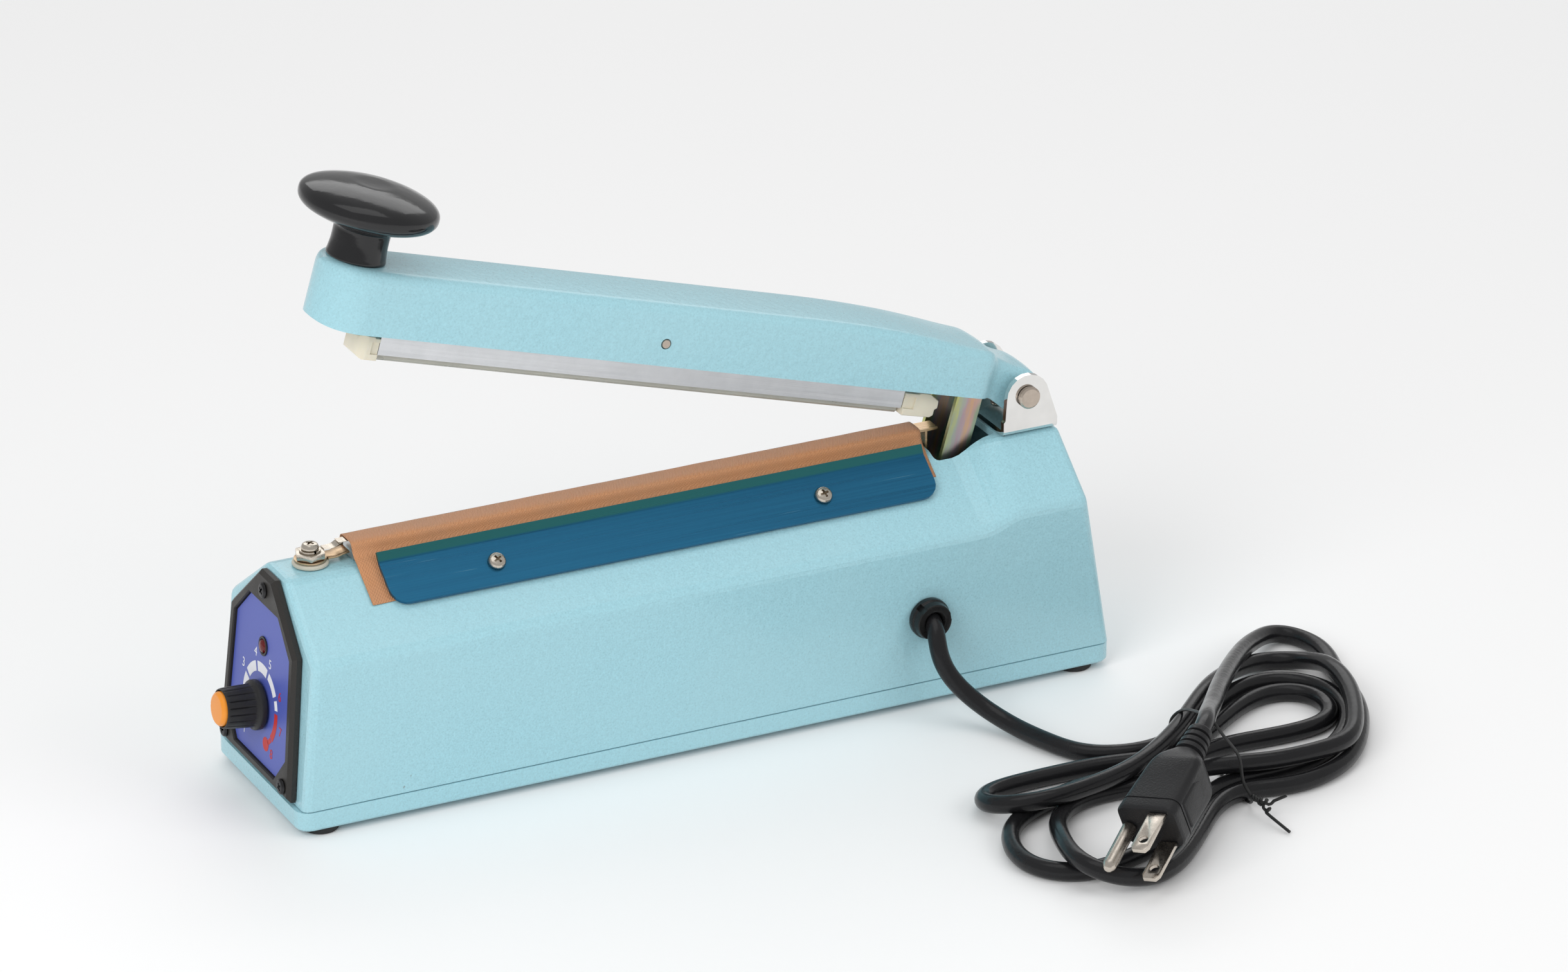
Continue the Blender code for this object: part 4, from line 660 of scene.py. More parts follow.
for index, sign in enumerate((-1, 1)):
    centre = sign * BLADE_SPREAD
    outline = []
    for b, along in ((-BLADE_HALF, 0.3), (BLADE_HALF, 0.3), (BLADE_HALF, 15.4), (2.2, BLADE_LONG),
                     (-2.2, BLADE_LONG), (-BLADE_HALF, 15.4)):
        outline.append((GROUND_SHIFT + b, PLUG_LENGTH + along))
    blade = prism_mesh("blade", outline, "x", centre - BLADE_T / 2.0, centre + BLADE_T / 2.0, PLUG)
    eye = turned_mesh("eye", ((EYE_R, -3.0), (EYE_R, 3.0)), PLUG @ axis_frame(
        (centre, GROUND_SHIFT, PLUG_LENGTH + EYE_OUT), (1.0, 0.0, 0.0)), 24)
    blade = bevel(carved(blade, eye), 0.22)
    piece("blade_%d" % (index + 1), blade, blade_metal, "base", "nickel", "plug_blade_%d" % (index + 1))
pin_profile = rounded_profile(((0.0, PLUG_LENGTH + 0.3), (GROUND_R, PLUG_LENGTH + 0.3),
                               (GROUND_R, PLUG_LENGTH + 18.6), (GROUND_R / 2.0, PLUG_LENGTH + 20.3),
                               (0.0, PLUG_LENGTH + 20.4)), 0.9)
pin_profile = [(max(r, 0.05), z) for r, z in pin_profile]
pin_frame = PLUG @ Matrix.Translation((0.0, GROUND_SHIFT + GROUND_DROP, 0.0))
piece("ground_pin", turned_mesh("ground", pin_profile, pin_frame, 32), blade_metal, "base", "nickel",
      "plug_ground_pin")

# ---- twist tie round the bundle ----
TIE_R = 0.55
tie_loop = ((286.6, -99.8, 4.0), (289.0, -96.5, 9.0), (290.9, -100.8, 14.0), (284.0, -122.0, 24.0),
            (273.5, -148.4, 35.4), (276.5, -153.0, 30.0), (283.0, -151.5, 21.0), (286.5, -149.0, 10.0),
            (287.6, -152.8, 5.5), (290.0, -146.0, 0.7), (292.0, -125.0, 0.7), (290.0, -105.0, 0.7),
            (286.6, -97.5, 1.5))
tie_line = evenly(smooth_line(tie_loop + (tie_loop[0],), 10), 0.8)
# at its lowest the tie lies on the floor
tie_line = [Vector((p.x, p.y, max(p.z, TIE_R + 0.1))) for p in tie_line]
tie = tube_piece("twist_tie", tie_line, TIE_R, wire_tie, "base", "cord", sides=3)
TWIST_FROM = Vector((287.6, -153.2, 6.0))
TWIST_TO = Vector((290.0, -161.0, 5.0))
TWIST_TURNS = 3.5
# the tie's two ends are wound round each other, then one bends down and one up
for end, phase, bend, tip in (("a", 0.0, -2.0, (290.8, -172.4, 1.0)),
                              ("b", math.pi, 2.0, (294.5, -163.5, 9.4))):
    twist = []
    for k in range(61):
        part = k / 60.0
        centre = TWIST_FROM.lerp(TWIST_TO, part)
        swing = TIE_R * (1.0 + 5.0 * max(0.0, part - 0.55) ** 2)
        turn = 2.0 * math.pi * TWIST_TURNS * part + phase
        drop = Vector((0.0, 0.0, bend * part * part))
        twist.append(centre + Vector((math.cos(turn), 0.0, math.sin(turn))) * swing + drop)
    tie_end = evenly(smooth_line(twist + [tip], 4), 0.8)
    tube_piece("twist_tie_end_%s" % end, tie_end, TIE_R, wire_tie, "base", "cord", sides=3)

# ---- strain relief where the cord leaves the housing ----
gland_frame = axis_frame(GLAND, (0.0, -1.0, 0.0))
gland_profile = rounded_profile(((3.3, -7.0), (5.1, -7.0), (5.1, 0.3), (7.2, 0.3), (7.2, 2.5), (6.6, 3.2),
                                 (6.3, 5.8), (4.0, 5.8), (3.3, 5.0)), 0.5)
gland_mesh = turned_mesh("gland", gland_profile, gland_frame, 72, ring=True)
slots = []
for k in range(3):
    turn = Matrix.Rotation(math.radians(40.0 + 120.0 * k), 4, "Z")
    slots.append(prism_mesh("slot", ((-1.1, 6.0), (1.1, 6.0), (1.1, 9.5), (-1.1, 9.5)), "z", 2.0, 7.0,
                            gland_frame @ turn))
piece("cord_bushing", carved(gland_mesh, joined("slots", slots)), gland_pvc, "base", "black_plastic",
      "cable_gland")


# ---- screws ----
def phillips_screw(head_r, head_h, shank_r, length, place, turn):
    """A pan-head screw with a cross recess; z = 0 is the face under its head."""
    profile = ((0.05, -length), (shank_r, -length + 0.4), (shank_r, 0.0), (head_r * 0.98, 0.0),
               (head_r, head_h * 0.35), (head_r * 0.82, head_h * 0.86), (0.05, head_h))
    mesh = turned_mesh("screw", rounded_profile(profile, head_r * 0.22), None, 48)
    bits = []
    wide = head_r * 0.56
    thin = head_r * 0.13
    for quarter in (0.0, 90.0):
        rings = []
        for rise, part in ((1.3, 1.0), (0.55, 0.78), (0.12, 0.30)):
            height = head_h * rise
            reach = wide * part
            rings.append([(-reach, -thin, height), (reach, -thin, height), (reach, thin, height),
                          (-reach, thin, height)])
        bits.append(rings_mesh("bit", rings, Matrix.Rotation(math.radians(quarter), 4, "Z")))
    mesh = carved(mesh, carved(bits[0], bits[1], "UNION"))
    mesh.transform(place @ Matrix.Rotation(math.radians(turn), 4, "Z"))
    return mesh


DECK_HALF = 8.5           # the housing's flat top, half its width
DECK_Z = 80.3
BODY_HALF = 35.2          # and its upright sides, which end at the shoulder
SHOULDER_Z = 60.4
SLOPE = Vector((0.0, -(BODY_HALF - DECK_HALF), SHOULDER_Z - DECK_Z)).normalized()
SLOPE_OUT = Vector((0.0, SLOPE.z, -SLOPE.y))
DECK_EDGE = Vector((0.0, -DECK_HALF, DECK_Z))
CLAMP_OUT = 1.1           # inner face of a clamp plate, out from the slope
CLAMP_T = 1.2
CLAMP_SCREW_X = (79.0, 198.5)
CLAMP_SCREW_S = 9.4       # down the slope from the deck's edge
# head radius, head height, shank radius, length
CLAMP_SCREW = (3.1, 2.1, 1.6, 8.0)
PANEL_SCREW = (2.7, 1.2, 1.5, 8.0)
BRACKET_SCREW = (2.8, 1.6, 1.6, 9.0)
BASE_SCREW = (3.4, 0.8, 1.6, 12.6)
TERMINAL_SCREW = (3.0, 2.2, 2.0, 16.0)


def on_slope(x, down, out, side):
    """A point over the sloping face: down from the deck edge, out from the face; side -1 is the cord side."""
    point = DECK_EDGE + SLOPE * down + SLOPE_OUT * out
    return Vector((x, -side * point.y, point.z))


def slope_normal(side):
    return Vector((0.0, -side * SLOPE_OUT.y, SLOPE_OUT.z))


def fixings(name, node, sizes, finish, slot, places):
    """Screws of one kind, each turned at random, that stand for the CAD nodes node_1, node_2 and so on."""
    for number, place in enumerate(places, 1):
        screw = phillips_screw(*sizes, place, random.uniform(0.0, 90.0))
        piece("%s_%d" % (name, number), screw, finish, "base", slot, "%s_%d" % (node, number))


random.seed(7)
fixings("clamp_fixing", "clamp_screw", CLAMP_SCREW, nickel, "nickel", [
    axis_frame(on_slope(x, CLAMP_SCREW_S, CLAMP_OUT + CLAMP_T + 0.12, side), slope_normal(side))
    for side in (-1, 1) for x in CLAMP_SCREW_X])
fixings("panel_fixing", "panel_screw", PANEL_SCREW, dark_screw, "black_plastic", [
    on_panel(across, rise, 0.1) for across, rise in ((0.0, 74.6), (24.0, 15.2), (-24.0, 15.2))])
fixings("bracket_fixing", "bracket_screw", BRACKET_SCREW, nickel, "nickel", [
    Matrix.Translation((278.0, y, 86.4)) for y in (-8.0, 8.0)])
fixings("foot_fixing", "base_screw", BASE_SCREW, nickel, "nickel", [
    axis_frame((x, y, 1.0), (0.0, 0.0, -1.0)) for x in (10.0, 289.0) for y in (-28.5, 28.5)])

# ---- front terminal: insulator, nut, washers, screw and the element's end ----
TERMINAL_X = 20.5
NUT_LOW = 83.1
NUT_HIGH = 2.0
NUT_CORNER_R = 5.3
NUT_TURN = 12.0
place = Matrix.Translation((TERMINAL_X, 0.0, 0.0))
insulator = ((2.4, 80.6), (6.1, 80.6), (6.1, 81.5), (5.6, 81.9), (2.4, 81.9), (2.4, 81.0))
insulator_mesh = turned_mesh("insulator", rounded_profile(insulator, 0.35), place, 64, ring=True)
piece("terminal_insulator_ring", insulator_mesh, washer_silicone, "base", "silicone", "terminal_insulator")
hexagon = []
for k in range(6):
    x, y = polar(NUT_CORNER_R, math.radians(60.0 * k + NUT_TURN))
    hexagon.append((TERMINAL_X + x, y))
nut = prism_mesh("nut", hexagon, "z", NUT_LOW, NUT_LOW + NUT_HIGH)
crown_profile = ((5.0, NUT_LOW - 0.9), (5.8, NUT_LOW + 0.7), (5.8, NUT_LOW + 1.3), (4.7, NUT_LOW + 2.5))
crown = turned_mesh("crown", crown_profile, place, 64)
bore = turned_mesh("bore", ((2.4, NUT_LOW - 2.0), (2.4, NUT_LOW + 5.0)), place, 32)
nut = carved(carved(nut, crown, "INTERSECT"), bore)
piece("terminal_hex_nut", bevel(nut, 0.18, 2, 25.0), nickel, "base", "nickel", "terminal_nut")
WASHER_Z = (85.15, 85.85)
washer_profile = ((2.3, WASHER_Z[0]), (3.6, WASHER_Z[0]), (3.6, WASHER_Z[1]), (2.3, WASHER_Z[1]),
                  (2.3, WASHER_Z[0] + 0.2))
spring_washer = turned_mesh("washer", rounded_profile(washer_profile, 0.12), place, 48, ring=True)
split = prism_mesh("split", ((TERMINAL_X - 0.4, -5.5), (TERMINAL_X + 0.4, -5.5), (TERMINAL_X + 1.2, -1.5),
                             (TERMINAL_X + 0.4, -1.5)), "z", NUT_LOW + NUT_HIGH, NUT_LOW + 4.0)
piece("terminal_spring_washer", carved(spring_washer, split), nickel, "base", "nickel")
screw = phillips_screw(*TERMINAL_SCREW, Matrix.Translation((TERMINAL_X, 0.0, WASHER_Z[1] + 0.05)), 35.0)
piece("terminal_fixing", screw, nickel, "base", "nickel", "terminal_screw")

LUG_LOW = 82.2
LUG_T = 0.6
ELEMENT_Z = 86.8


def ribbon(name, line, half, thickness):
    """A strip of sheet along an x, z line, half wide each side of the centre line."""
    rings = []
    for k, point in enumerate(line):
        ahead = line[min(k + 1, len(line) - 1)] - line[max(k - 1, 0)]
        normal = Vector((-ahead.y, ahead.x)).normalized() * thickness
        top = point + normal
        rings.append([(point.x, -half, point.y), (point.x, half, point.y), (top.x, half, top.y),
                      (top.x, -half, top.y)])
    return rings_mesh(name, rings)


lug_line = smooth_line(((TERMINAL_X + 5.2, LUG_LOW), (TERMINAL_X + 8.2, LUG_LOW),
                        (TERMINAL_X + 10.4, LUG_LOW + 0.5), (TERMINAL_X + 12.8, LUG_LOW + 0.9)), 5)
tab = ribbon("tab", lug_line, 2.9, LUG_T)
eyelet_profile = ((2.4, LUG_LOW), (5.4, LUG_LOW), (5.4, LUG_LOW + LUG_T), (2.4, LUG_LOW + LUG_T))
eyelet = turned_mesh("eyelet", eyelet_profile, place, 56, ring=True)
piece("terminal_lug", bevel(carved(eyelet, tab, "UNION"), 0.12), brass, "base", "copper", "element_lug")
element_line = smooth_line(((TERMINAL_X + 4.4, NUT_LOW + 2.25), (TERMINAL_X + 7.6, NUT_LOW + 2.3),
                            (TERMINAL_X + 11.0, ELEMENT_Z - 0.05), (38.0, ELEMENT_Z), (120.0, ELEMENT_Z),
                            (240.5, ELEMENT_Z)), 5)
element = ribbon("element", element_line, 1.8, 0.12)
piece("element_ribbon", element, nickel, "base", "nickel", "heating_element")

# ---- release cloth over the lower jaw ----
CLOTH_X = (33.2, 241.6)
CLOTH_T = 0.16
CLOTH_SIDE = 15.2         # how far the cloth runs down each slope at the front
CLOTH_SIDE_REAR = 9.5     # and at the rear
CLOTH_COLUMNS = 150


def cloth_section():
    """The cloth's path across the jaw in the y z plane, from the near edge to the far edge."""
    near = []
    for down, out in ((CLOTH_SIDE, 0.34), (9.0, 0.38), (4.0, 0.40), (1.4, 0.50)):
        point = on_slope(0.0, down, out, -1)
        near.append((point.y, point.z))
    near += [(-8.3, 81.25), (-6.6, 82.3), (-5.3, 83.9), (-4.85, 85.4), (-4.4, 86.6), (-3.3, 87.12),
             (-1.5, 87.25)]
    far = [(-y, z) for y, z in reversed(near)]
    return evenly(smooth_line(near + far, 6), 0.9)


section = cloth_section()
width_count = len(section)
verts = []
for i in range(CLOTH_COLUMNS + 1):
    part = i / CLOTH_COLUMNS
    x = CLOTH_X[0] + (CLOTH_X[1] - CLOTH_X[0]) * part
    for k, point in enumerate(section):
        across = k / (width_count - 1)
        # faint ripples and slack beside the jaw's crown, and a slight curl at the front end
        crown_part = math.exp(-((across - 0.5) / 0.16) ** 2)
        ripple = 0.05 * math.sin(x * 0.11 + across * 4.0) + 0.035 * math.sin(x * 0.31 - across * 9.0)
        slack = 0.10 * math.sin(x * 0.043 + 1.0) * (1.0 - crown_part)
        end_curl = 0.25 * math.exp(-(x - CLOTH_X[0]) / 2.2) * (1.0 - crown_part)
        lift = max(-0.06, (ripple + slack) * 0.8) + end_curl
        ahead = section[min(k + 1, width_count - 1)] - section[max(k - 1, 0)]
        normal = Vector((-ahead.y, ahead.x)).normalized()
        # the parts on the slopes grow shorter toward the rear
        flap = 1.0
        if abs(point.x) > DECK_HALF:
            flap += (CLOTH_SIDE_REAR / CLOTH_SIDE - 1.0) * part
        edge = Vector((math.copysign(DECK_HALF, point.x), DECK_Z))
        place_on = edge + (point - edge) * flap
        slant = 0.7 * (abs(across - 0.5) - 0.25) if i == 0 else 0.0
        verts.append((x + slant, place_on.x + normal.x * lift, place_on.y + normal.y * lift))
faces = []
for i in range(CLOTH_COLUMNS):
    for k in range(width_count - 1):
        low = i * width_count + k
        faces.append((low, low + 1, low + width_count + 1, low + width_count))
cloth_mesh = bpy.data.meshes.new("cloth")
cloth_mesh.from_pydata(verts, [], faces)
cloth_piece = piece("release_cloth_sheet", cloth_mesh, cloth, "base", "ptfe_cloth", "release_cloth",
                    angle=60.0)
thicken = cloth_piece.modifiers.new("thickness", "SOLIDIFY")
thicken.thickness = CLOTH_T * MM
thicken.offset = 0.0
section_length = sum((b - a).length for a, b in zip(section, section[1:]))
section_length -= CLOTH_SIDE - CLOTH_SIDE_REAR      # the two tapered sides, on average

# ---- arm ----
# in the arm's own frame: u along it from the hinge, y across, v up
ARM_HALF = 14.3
ARM_BOTTOM = -3.3
ARM_TOP = 17.8
TONGUE_HALF = 11.0        # the arm between the hinge bracket's cheeks
PIN_R = 3.2
JAW_PIVOT = (140.5, 4.4)
KNOB_U = 252.2


def arm_ring(u, half, low, high, corner=3.4, steps=6, crowned=0.35):
    """A section of the arm, closed below, with round upper corners and a slightly crowned top."""
    corner = min(corner, half * 0.8, (high - low) * 0.45)
    right_side = [(-half, low)]
    for k in range(steps + 1):
        y, v = polar(corner, math.radians(180.0 - 90.0 * k / steps))
        right_side.append((-half + corner + y, high - corner + v))
    right_side.append(((corner - half) * 0.5, high + crowned * 0.8))
    points = right_side + [(0.0, high + crowned)] + [(-y, v) for y, v in reversed(right_side)]
    return [(-u, y, v) for y, v in points]


NOSE_U = 250.0            # centre of the round front end, whose radius is the arm's half width
arm_rings = []
for turn in range(6, 91, 4):
    reach = math.cos(math.radians(turn))
    arm_rings.append(arm_ring(NOSE_U + ARM_HALF * reach, ARM_HALF * math.sin(math.radians(turn)),
                              ARM_BOTTOM + 0.8 * reach ** 6, ARM_TOP - 1.5 * reach ** 6))
arm_rings += [arm_ring(u, ARM_HALF, ARM_BOTTOM, ARM_TOP) for u in range(240, 100, -10)]
# along from the hinge, half width, bottom, top
rear_stations = [(u, ARM_HALF, ARM_BOTTOM, top) for u, top in (
    (95.0, ARM_TOP), (80.0, 17.75), (66.0, 17.4), (50.0, 16.5), (36.0, 15.1), (24.0, 13.6))]
rear_stations += [(18.0, 14.25, ARM_BOTTOM, 13.0), (15.6, 13.9, ARM_BOTTOM, 12.6), (13.9, 13.0, -3.35, 12.1),
                  (12.6, 11.8, -3.5, 11.5), (11.0, 11.1, -3.9, 10.4)]
rear_stations += [(u, TONGUE_HALF, low, top) for u, low, top in (
    (8.6, -5.0, 9.4), (6.0, -6.3, 8.6), (2.5, -8.0, 7.8), (-2.0, -8.3, 7.2), (-5.5, -6.6, 5.6),
    (-7.6, -3.6, 3.4), (-8.5, -0.9, 0.8))]
for u, half, low, top in smooth_line(rear_stations, 3):
    arm_rings.append(arm_ring(u, min(half, ARM_HALF), low, top))
arm_mesh = rings_mesh("arm", arm_rings, ARM)
# the arm is open below; along, half width and ceiling of its hollow
cavity_half = ARM_HALF - 2.4
cavity_top = ARM_TOP - 2.6
cavity = [arm_ring(u, half, -24.0, high, 2.0, 4, 0.0) for u, half, high in (
    (259.5, 6.5, 9.5), (254.5, 10.6, cavity_top), (250.0, 11.3, cavity_top), (82.0, cavity_half, cavity_top),
    (50.0, cavity_half, 13.6), (30.0, cavity_half, 11.6), (17.5, cavity_half - 1.0, 9.9), (10.6, 8.6, 8.0))]
arm_mesh = carved(arm_mesh, rings_mesh("cavity", cavity, ARM))


def arm_hole(u, v, radius):
    """A tool for a hole right across the arm."""
    return turned_mesh("hole", ((radius, -30.0), (radius, 30.0)),
                       ARM @ axis_frame((-u, 0.0, v), (0.0, -1.0, 0.0)), 32)


stem_frame = ARM @ Matrix.Translation((-KNOB_U, 0.0, 0.0))
arm_mesh = carved(arm_mesh, joined("arm_holes", [
    arm_hole(0.0, 0.0, PIN_R + 0.3), arm_hole(JAW_PIVOT[0], JAW_PIVOT[1], 1.85),
    turned_mesh("hole", ((3.5, 8.0), (3.5, 26.0)), stem_frame, 24)]))
piece("arm_casting", arm_mesh, paint, "arm", "paint", "arm_shell", angle=38.0)

# radius and height above the hinge's level, up the stem and over the mushroom head
knob_curve = smooth_line((
    (9.9, 18.2), (9.95, 18.8), (9.75, 20.0), (9.45, 23.0), (9.45, 26.4), (9.6, 28.2), (10.3, 28.8),
    (11.5, 29.6), (15.0, 30.6), (18.6, 31.7), (21.4, 33.0), (22.9, 34.6), (23.3, 36.4), (22.9, 38.2),
    (21.2, 39.8), (18.0, 41.2), (13.5, 42.4), (9.0, 43.1), (6.5, 43.3), (3.5, 43.15), (0.05, 43.05)), 6)
knob_points = [(0.05, 18.15), (8.6, 18.15)] + [(max(p.x, 0.05), p.y) for p in knob_curve]
knob_mesh = joined("knob", [turned_mesh("knob", knob_points, stem_frame, 96),
                            turned_mesh("stud", ((3.0, 13.0), (3.1, 13.4), (3.1, 18.1)), stem_frame, 32)])
piece("mushroom_knob", knob_mesh, gloss_black, "arm", "gloss_black", "press_knob", angle=50.0)

# ---- timer knob, its cap and the dial ----
KNOB_Z = 34.1
knob_frame = on_panel(0.0, KNOB_Z)
FLUTES = 18
SEGMENTS = FLUTES * 8


def fluted(radius, height, depth=0.0):
    """A ring of the knob with flutes of a depth cut into it."""
    ring = []
    for k in range(SEGMENTS):
        angle = 2.0 * math.pi * k / SEGMENTS
        dip = max(0.0, math.cos(angle * FLUTES)) ** 6
        ring.append((*polar(radius - depth * dip, angle), height))
    return ring


knob_rings = [fluted(*station) for station in (
    (3.4, 7.9), (3.4, -0.6), (7.8, -0.6), (8.3, -0.3), (8.4, 0.1), (8.4, 1.3), (8.2, 1.8), (7.7, 2.1),
    (7.3, 2.5), (7.2, 3.2, 0.4), (7.05, 6.5, 0.45), (6.8, 11.6, 0.45), (6.7, 12.2, 0.2), (6.5, 12.7),
    (6.2, 12.8), (6.05, 12.6), (6.05, 10.6), (5.0, 10.6), (4.2, 8.2))]
knob_shell = rings_mesh("timer", knob_rings, knob_frame)
piece("timer_knob_fluted", knob_shell, black_plastic, "timer_knob", "black_plastic", "timer_knob", angle=40.0)
cap_profile = rounded_profile(((0.05, 10.9), (5.75, 10.9), (5.75, 13.5), (4.9, 14.35), (0.05, 14.4)), 0.7)
cap_mesh = turned_mesh("cap", cap_profile, knob_frame, 72)
notch = prism_mesh("notch", ((-7.0, -0.9), (-4.0, 0.0), (-7.0, 0.9)), "z", 13.4, 16.0, knob_frame)
piece("timer_cap", carved(cap_mesh, notch), orange_plastic, "timer_knob", "orange_cap", "timer_knob_cap",
      angle=40.0)
pointer = prism_mesh("pointer", ((-5.6, -0.72), (-4.2, 0.0), (-5.6, 0.72)), "z", 13.1, 13.5, knob_frame)
piece("timer_pointer", pointer, black_plastic, "timer_knob", "black_plastic")

DIAL_OUT = 14.4
DIAL_IN = 11.0
PRINT_Z = -1.19           # the printing stands on the label's face
PRINT_T = 0.05
NUMBER_R = 17.4
NUMBER_SIZE = 4.6
STEP_DEG = 40.0           # from one number to the next
DIAL_MIDDLE = 4.5         # the number that would stand at the top


def dial_point(angle, radius):
    """A point of the panel at a clock angle and radius from the knob's axis."""
    return (radius * math.sin(math.radians(angle)), KNOB_Z + radius * math.cos(math.radians(angle)))


def dial_arc(start, end, inner, outer):
    """A printed piece of a ring between two clock angles and two radii."""
    outline = [dial_point(start + (end - start) * k / 16, outer) for k in range(17)]
    outline += [dial_point(end + (start - end) * k / 16, inner) for k in range(17)]
    return prism_mesh("arc", outline, "z", PRINT_Z, PRINT_Z + PRINT_T, PANEL)


# each arc: start and end angle, inner and outer radius
white_arcs = []
for number in range(1, 6):
    start = (number - DIAL_MIDDLE) * STEP_DEG
    thin = DIAL_IN + max(0, number - 4) * 0.7
    white_arcs.append(dial_arc(start + 3.0, start + STEP_DEG - 3.0, thin, DIAL_OUT))
white_arcs.append(dial_arc(63.0, 77.0, 12.2, DIAL_OUT))
piece("dial_scale", joined("white_arcs", white_arcs), dial_white, "base", "label")
red_arcs = [dial_arc(82.0, 128.0, 11.9, DIAL_OUT), dial_arc(130.0, 143.0, 12.3, 14.0)]
red_arcs.append(turned_mesh("dot", ((2.4, PRINT_Z), (2.4, PRINT_Z + PRINT_T)),
                            on_panel(*dial_point(151.0, 13.2)), 32))
piece("dial_limit", joined("red_arcs", red_arcs), dial_red, "base", "label")
for number in range(1, 9):
    text = bpy.data.curves.new("number", "FONT")
    text.body = str(number)
    text.size = NUMBER_SIZE
    text.align_x = "CENTER"
    text.align_y = "CENTER"
    text.extrude = 0.03
    text_object = bpy.data.objects.new("number", text)
    link(text_object)
    bpy.context.view_layer.update()
    digits = bpy.data.meshes.new_from_object(text_object.evaluated_get(bpy.context.evaluated_depsgraph_get()))
    bpy.data.objects.remove(text_object)
    digits.transform(on_panel(*dial_point((number - DIAL_MIDDLE) * STEP_DEG, NUMBER_R), PRINT_Z + 0.03))
    piece("dial_number_%d" % number, digits, dial_red if number > 5 else dial_white, "base", "label")

# ---- indicator lamp ----
LED_UP = 54.8
LED_R = 2.4
led_frame = on_panel(0.0, LED_UP)
led_profile = ((0.05, -11.0), (LED_R, -11.0), (LED_R, -1.0), (2.0, -0.3), (1.0, 0.1), (0.05, 0.2))
led_mesh = turned_mesh("led", rounded_profile(led_profile, 0.5), led_frame, 40)
piece("indicator_lens", led_mesh, lamp, "base", "lamp", "indicator_lamp")
ring_profile = ((2.5, PRINT_Z), (3.3, PRINT_Z), (3.3, PRINT_Z + 0.5), (2.5, PRINT_Z + 0.5),
                (2.5, PRINT_Z + 0.1))
led_ring = turned_mesh("ring", rounded_profile(ring_profile, 0.12), led_frame, 48, ring=True)
piece("indicator_ring", led_ring, black_plastic, "base", "black_plastic")

# ---- jaw: the clips at the ends of the channel and strip ----
CLIP_HALF = 6.9
CLIP_NOTCH = 6.2          # the cheeks are thinned from here out where they clasp the channel


def clip_mesh(outline, cheek, slot=None):
    """An end clip of an outline across the width: its cheeks thinned, and a slot in its end if asked."""
    mesh = bevel(prism_mesh("clip", outline, "y", -CLIP_HALF, CLIP_HALF, ARM), 0.55, 3)
    tools = [prism_mesh("notch", cheek, "y", -8.0, -CLIP_NOTCH, ARM),
             prism_mesh("notch", cheek, "y", CLIP_NOTCH, 8.0, ARM)]
    if slot:
        tools.append(prism_mesh("notch", slot, "y", -2.4, 2.4, ARM))
    return carved(mesh, joined("tools", tools))


front_outline = ((-246.5, -7.0), (-245.8, -5.9), (-241.6, -5.8), (-241.2, -6.3), (-239.3, -6.3),
                 (-239.3, -13.9), (-244.8, -13.9), (-246.1, -13.2), (-246.5, -12.2))
rear_outline = ((-40.7, -6.3), (-35.6, -6.3), (-35.0, -5.8), (-31.4, -5.8), (-27.6, -8.0), (-27.4, -10.6),
                (-28.4, -11.2), (-28.4, -13.2), (-29.6, -14.1), (-40.7, -14.3))
front_clip = clip_mesh(front_outline, ((-242.2, -7.6), (-239.0, -7.6), (-239.0, -11.8), (-242.2, -11.8)))
# the front clip's end is round in plan
CLIP_CORNER = 3.8
plan = [(-235.0, -7.2), (-235.0, 7.2)]
for side, first in ((1.0, 90.0), (-1.0, 180.0)):
    for k in range(9):
        x, y = polar(CLIP_CORNER, math.radians(first + 90.0 * k / 8.0))
        plan.append((-246.6 + CLIP_CORNER + x, side * (6.95 - CLIP_CORNER) + y))
front_clip = carved(front_clip, prism_mesh("plan", plan, "z", -16.0, -4.0, ARM), "INTERSECT")
rear_clip = clip_mesh(rear_outline, ((-41.0, -7.6), (-36.6, -7.6), (-36.6, -11.8), (-41.0, -11.8)),
                      ((-28.2, -12.4), (-26.0, -12.4), (-26.0, -15.0), (-30.6, -15.0)))
piece("clip_front", front_clip, cream_plastic, "jaw", "cream_plastic", "jaw_clip_front")
piece("clip_rear", rear_clip, cream_plastic, "jaw", "cream_plastic", "jaw_clip_rear")

# ---- return spring under the lift lever ----
SPRING_AT = Vector((251.5, -2.0, 38.3))
SPRING_HEIGHT = 29.2
SPRING_R = 4.2
SPRING_WIRE = 0.55
SPRING_TURNS = 6
spring_rings = []
for k in range(SPRING_TURNS * 24 + 1):
    part = k / (SPRING_TURNS * 24)
    turn = 2.0 * math.pi * SPRING_TURNS * part
    radial = Vector((math.cos(turn), math.sin(turn), 0.0))
    centre = SPRING_AT + radial * SPRING_R
    centre.z += SPRING_WIRE + (SPRING_HEIGHT - 2.0 * SPRING_WIRE) * part
    spring_rings.append([centre + (radial * math.cos(a) + Vector((0.0, 0.0, 1.0)) * math.sin(a)) * SPRING_WIRE
                         for a in [2.0 * math.pi * i / 10 for i in range(10)]])
spring = piece("lever_spring", rings_mesh("spring", spring_rings), nickel, "base", "nickel", "return_spring",
               angle=60.0)
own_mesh(spring)

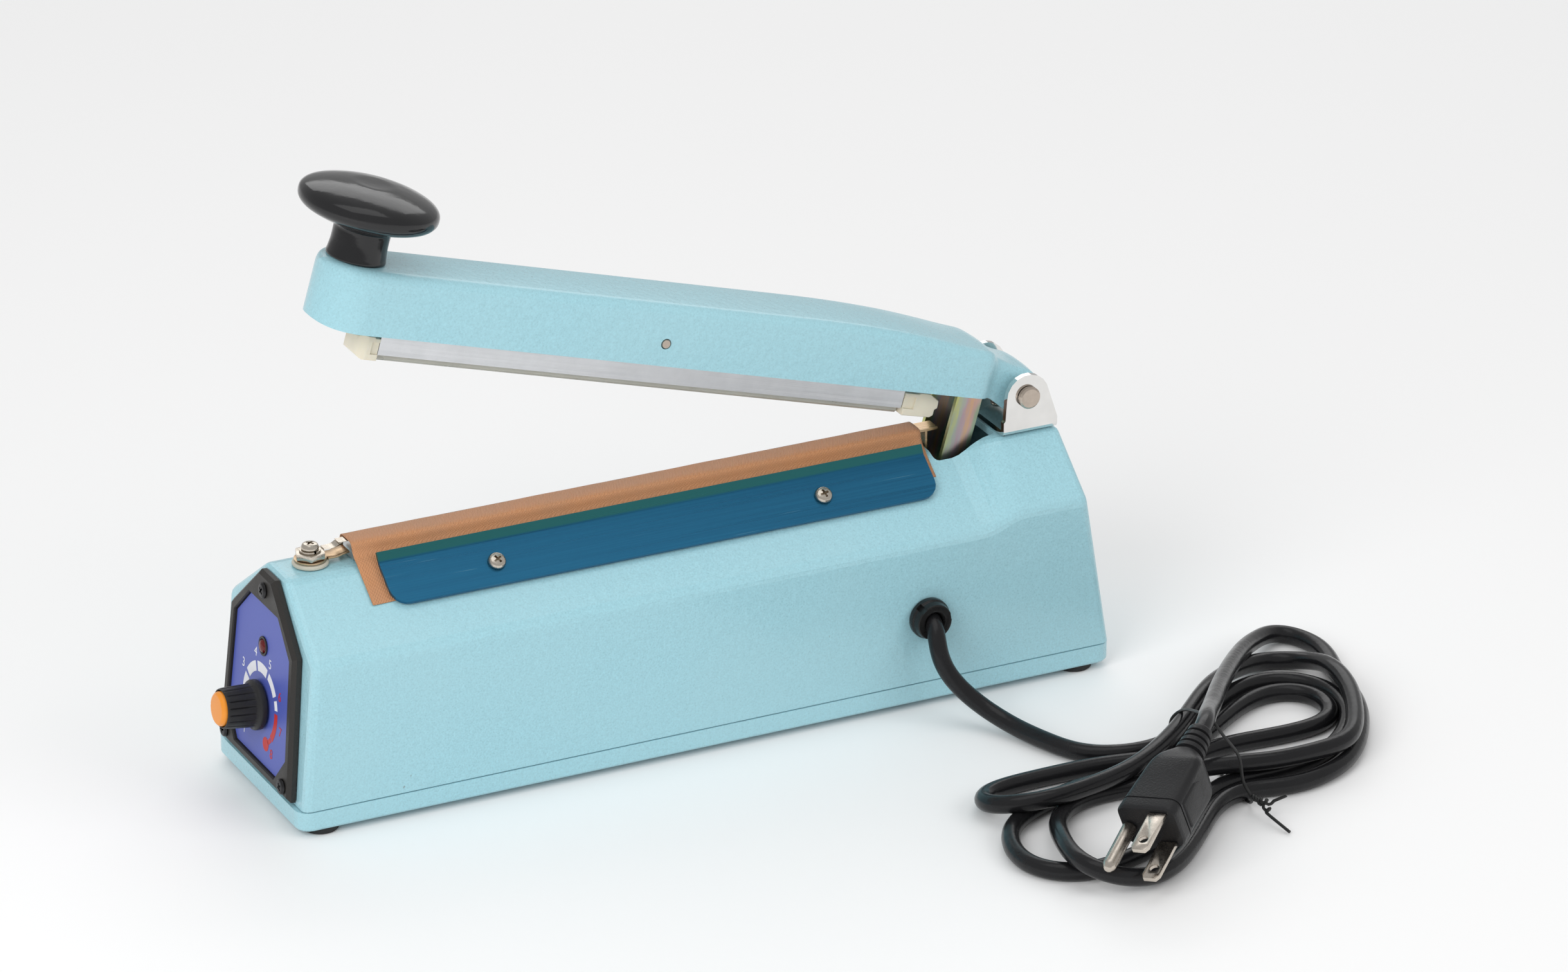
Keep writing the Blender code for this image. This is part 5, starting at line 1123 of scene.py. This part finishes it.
# ---- finishes of the CAD nodes that stay as they are ----
FEET = tuple("rubber_foot_%d" % number for number in range(1, 5))
KEPT = {
    paint: ("housing", "base_plate"),
    bezel_plastic: ("panel_bezel",),
    black_plastic: ("microswitch",),
    label: ("panel_plate",),
    foot_rubber: FEET,
    pin_nickel: ("hinge_pin", "jaw_pin"),
    nickel: ("timer_shaft",),
    zinc: ("lift_lever", "switch_bracket"),
    brass: ("element_strap",),
    chrome: ("hinge_bracket",),
    aluminium: ("jaw_channel", "timer_pot"),
    bar_aluminium: ("lower_jaw_bar",),
    anodised: ("clamp_plate_near", "clamp_plate_far"),
    silicone: ("sealing_strip",),
    cream_plastic: ("switch_plunger",),
    board_green: ("timer_board",),
    laminations: ("transformer_core",),
    enamel_wire: ("transformer_winding",),
}
for finish, names in KEPT.items():
    for name in names:
        nodes[name].data.materials.clear()
        nodes[name].data.materials.append(finish.material)
# the radius that each CAD node's edges are softened by
SOFTENED = {
    0.5: ("panel_bezel",),
    0.4: ("base_plate",),
    0.35: ("hinge_bracket",),
    0.3: ("jaw_channel", "lift_lever", "sealing_strip") + FEET,
    0.25: ("lower_jaw_bar", "hinge_pin"),
    0.2: ("clamp_plate_near", "clamp_plate_far"),
    0.15: ("panel_plate", "element_strap"),
}
for width, names in SOFTENED.items():
    for name in names:
        edge = nodes[name].modifiers.new("soft edges", "BEVEL")
        edge.width = width * MM
        edge.segments = 3
        edge.limit_method = "ANGLE"
        edge.angle_limit = math.radians(35.0)
        edge.harden_normals = False

# ---- floor, lights and world ----
FLOOR_SIZE = 4.0
floor_mesh = bpy.data.meshes.new("floor")
floor_mesh.from_pydata([(-FLOOR_SIZE, -FLOOR_SIZE, 0.0), (FLOOR_SIZE, -FLOOR_SIZE, 0.0),
                        (FLOOR_SIZE, FLOOR_SIZE, 0.0), (-FLOOR_SIZE, FLOOR_SIZE, 0.0)], [], [(0, 1, 2, 3)])
floor_finish = Finish("floor", (0.90, 0.90, 0.90), 0.6)
floor_finish.colours(floor_finish.noise(3.0), (0.955, 0.955, 0.955), (0.97, 0.97, 0.97))
floor_mesh.materials.append(floor_finish.material)
floor = bpy.data.objects.new("floor", floor_mesh)
link(floor)

world = bpy.data.worlds.new("world")
world.use_nodes = True
sky = world.node_tree.nodes["Background"]
sky.inputs["Color"].default_value = (1.0, 1.0, 1.0, 1.0)
sky.inputs["Strength"].default_value = 0.50
bpy.context.scene.world = world
bpy.context.scene.view_settings.view_transform = "Standard"


def area_light(name, azimuth, elevation, distance, size, power, mirrored=True):
    """A soft panel that looks at the sealer; azimuth 0 stands on the cord side and 90 behind the hinge.

    Metres and watts; a light that is not mirrored does not show in glossy surfaces.
    """
    a = math.radians(azimuth)
    e = math.radians(elevation)
    way = Vector((math.sin(a) * math.cos(e), -math.cos(a) * math.cos(e), math.sin(e)))
    data = bpy.data.lights.new(name, "AREA")
    data.shape = "RECTANGLE"
    data.size = size[0]
    data.size_y = size[1]
    data.energy = power
    obj = bpy.data.objects.new(name, data)
    obj.location = AIM + way * distance
    obj.rotation_mode = "QUATERNION"
    obj.rotation_quaternion = (-way).to_track_quat("-Z", "Y")
    obj.visible_glossy = mirrored
    link(obj)


area_light("key", -58.0, 34.0, 1.6, (1.0, 1.0), 12.0, False)
area_light("fill", 38.0, 28.0, 1.8, (1.2, 1.0), 6.5, False)
area_light("top", 10.0, 86.0, 1.5, (1.4, 0.8), 3.0)
area_light("rear", 153.0, 34.0, 1.9, (1.8, 0.8), 6.0)
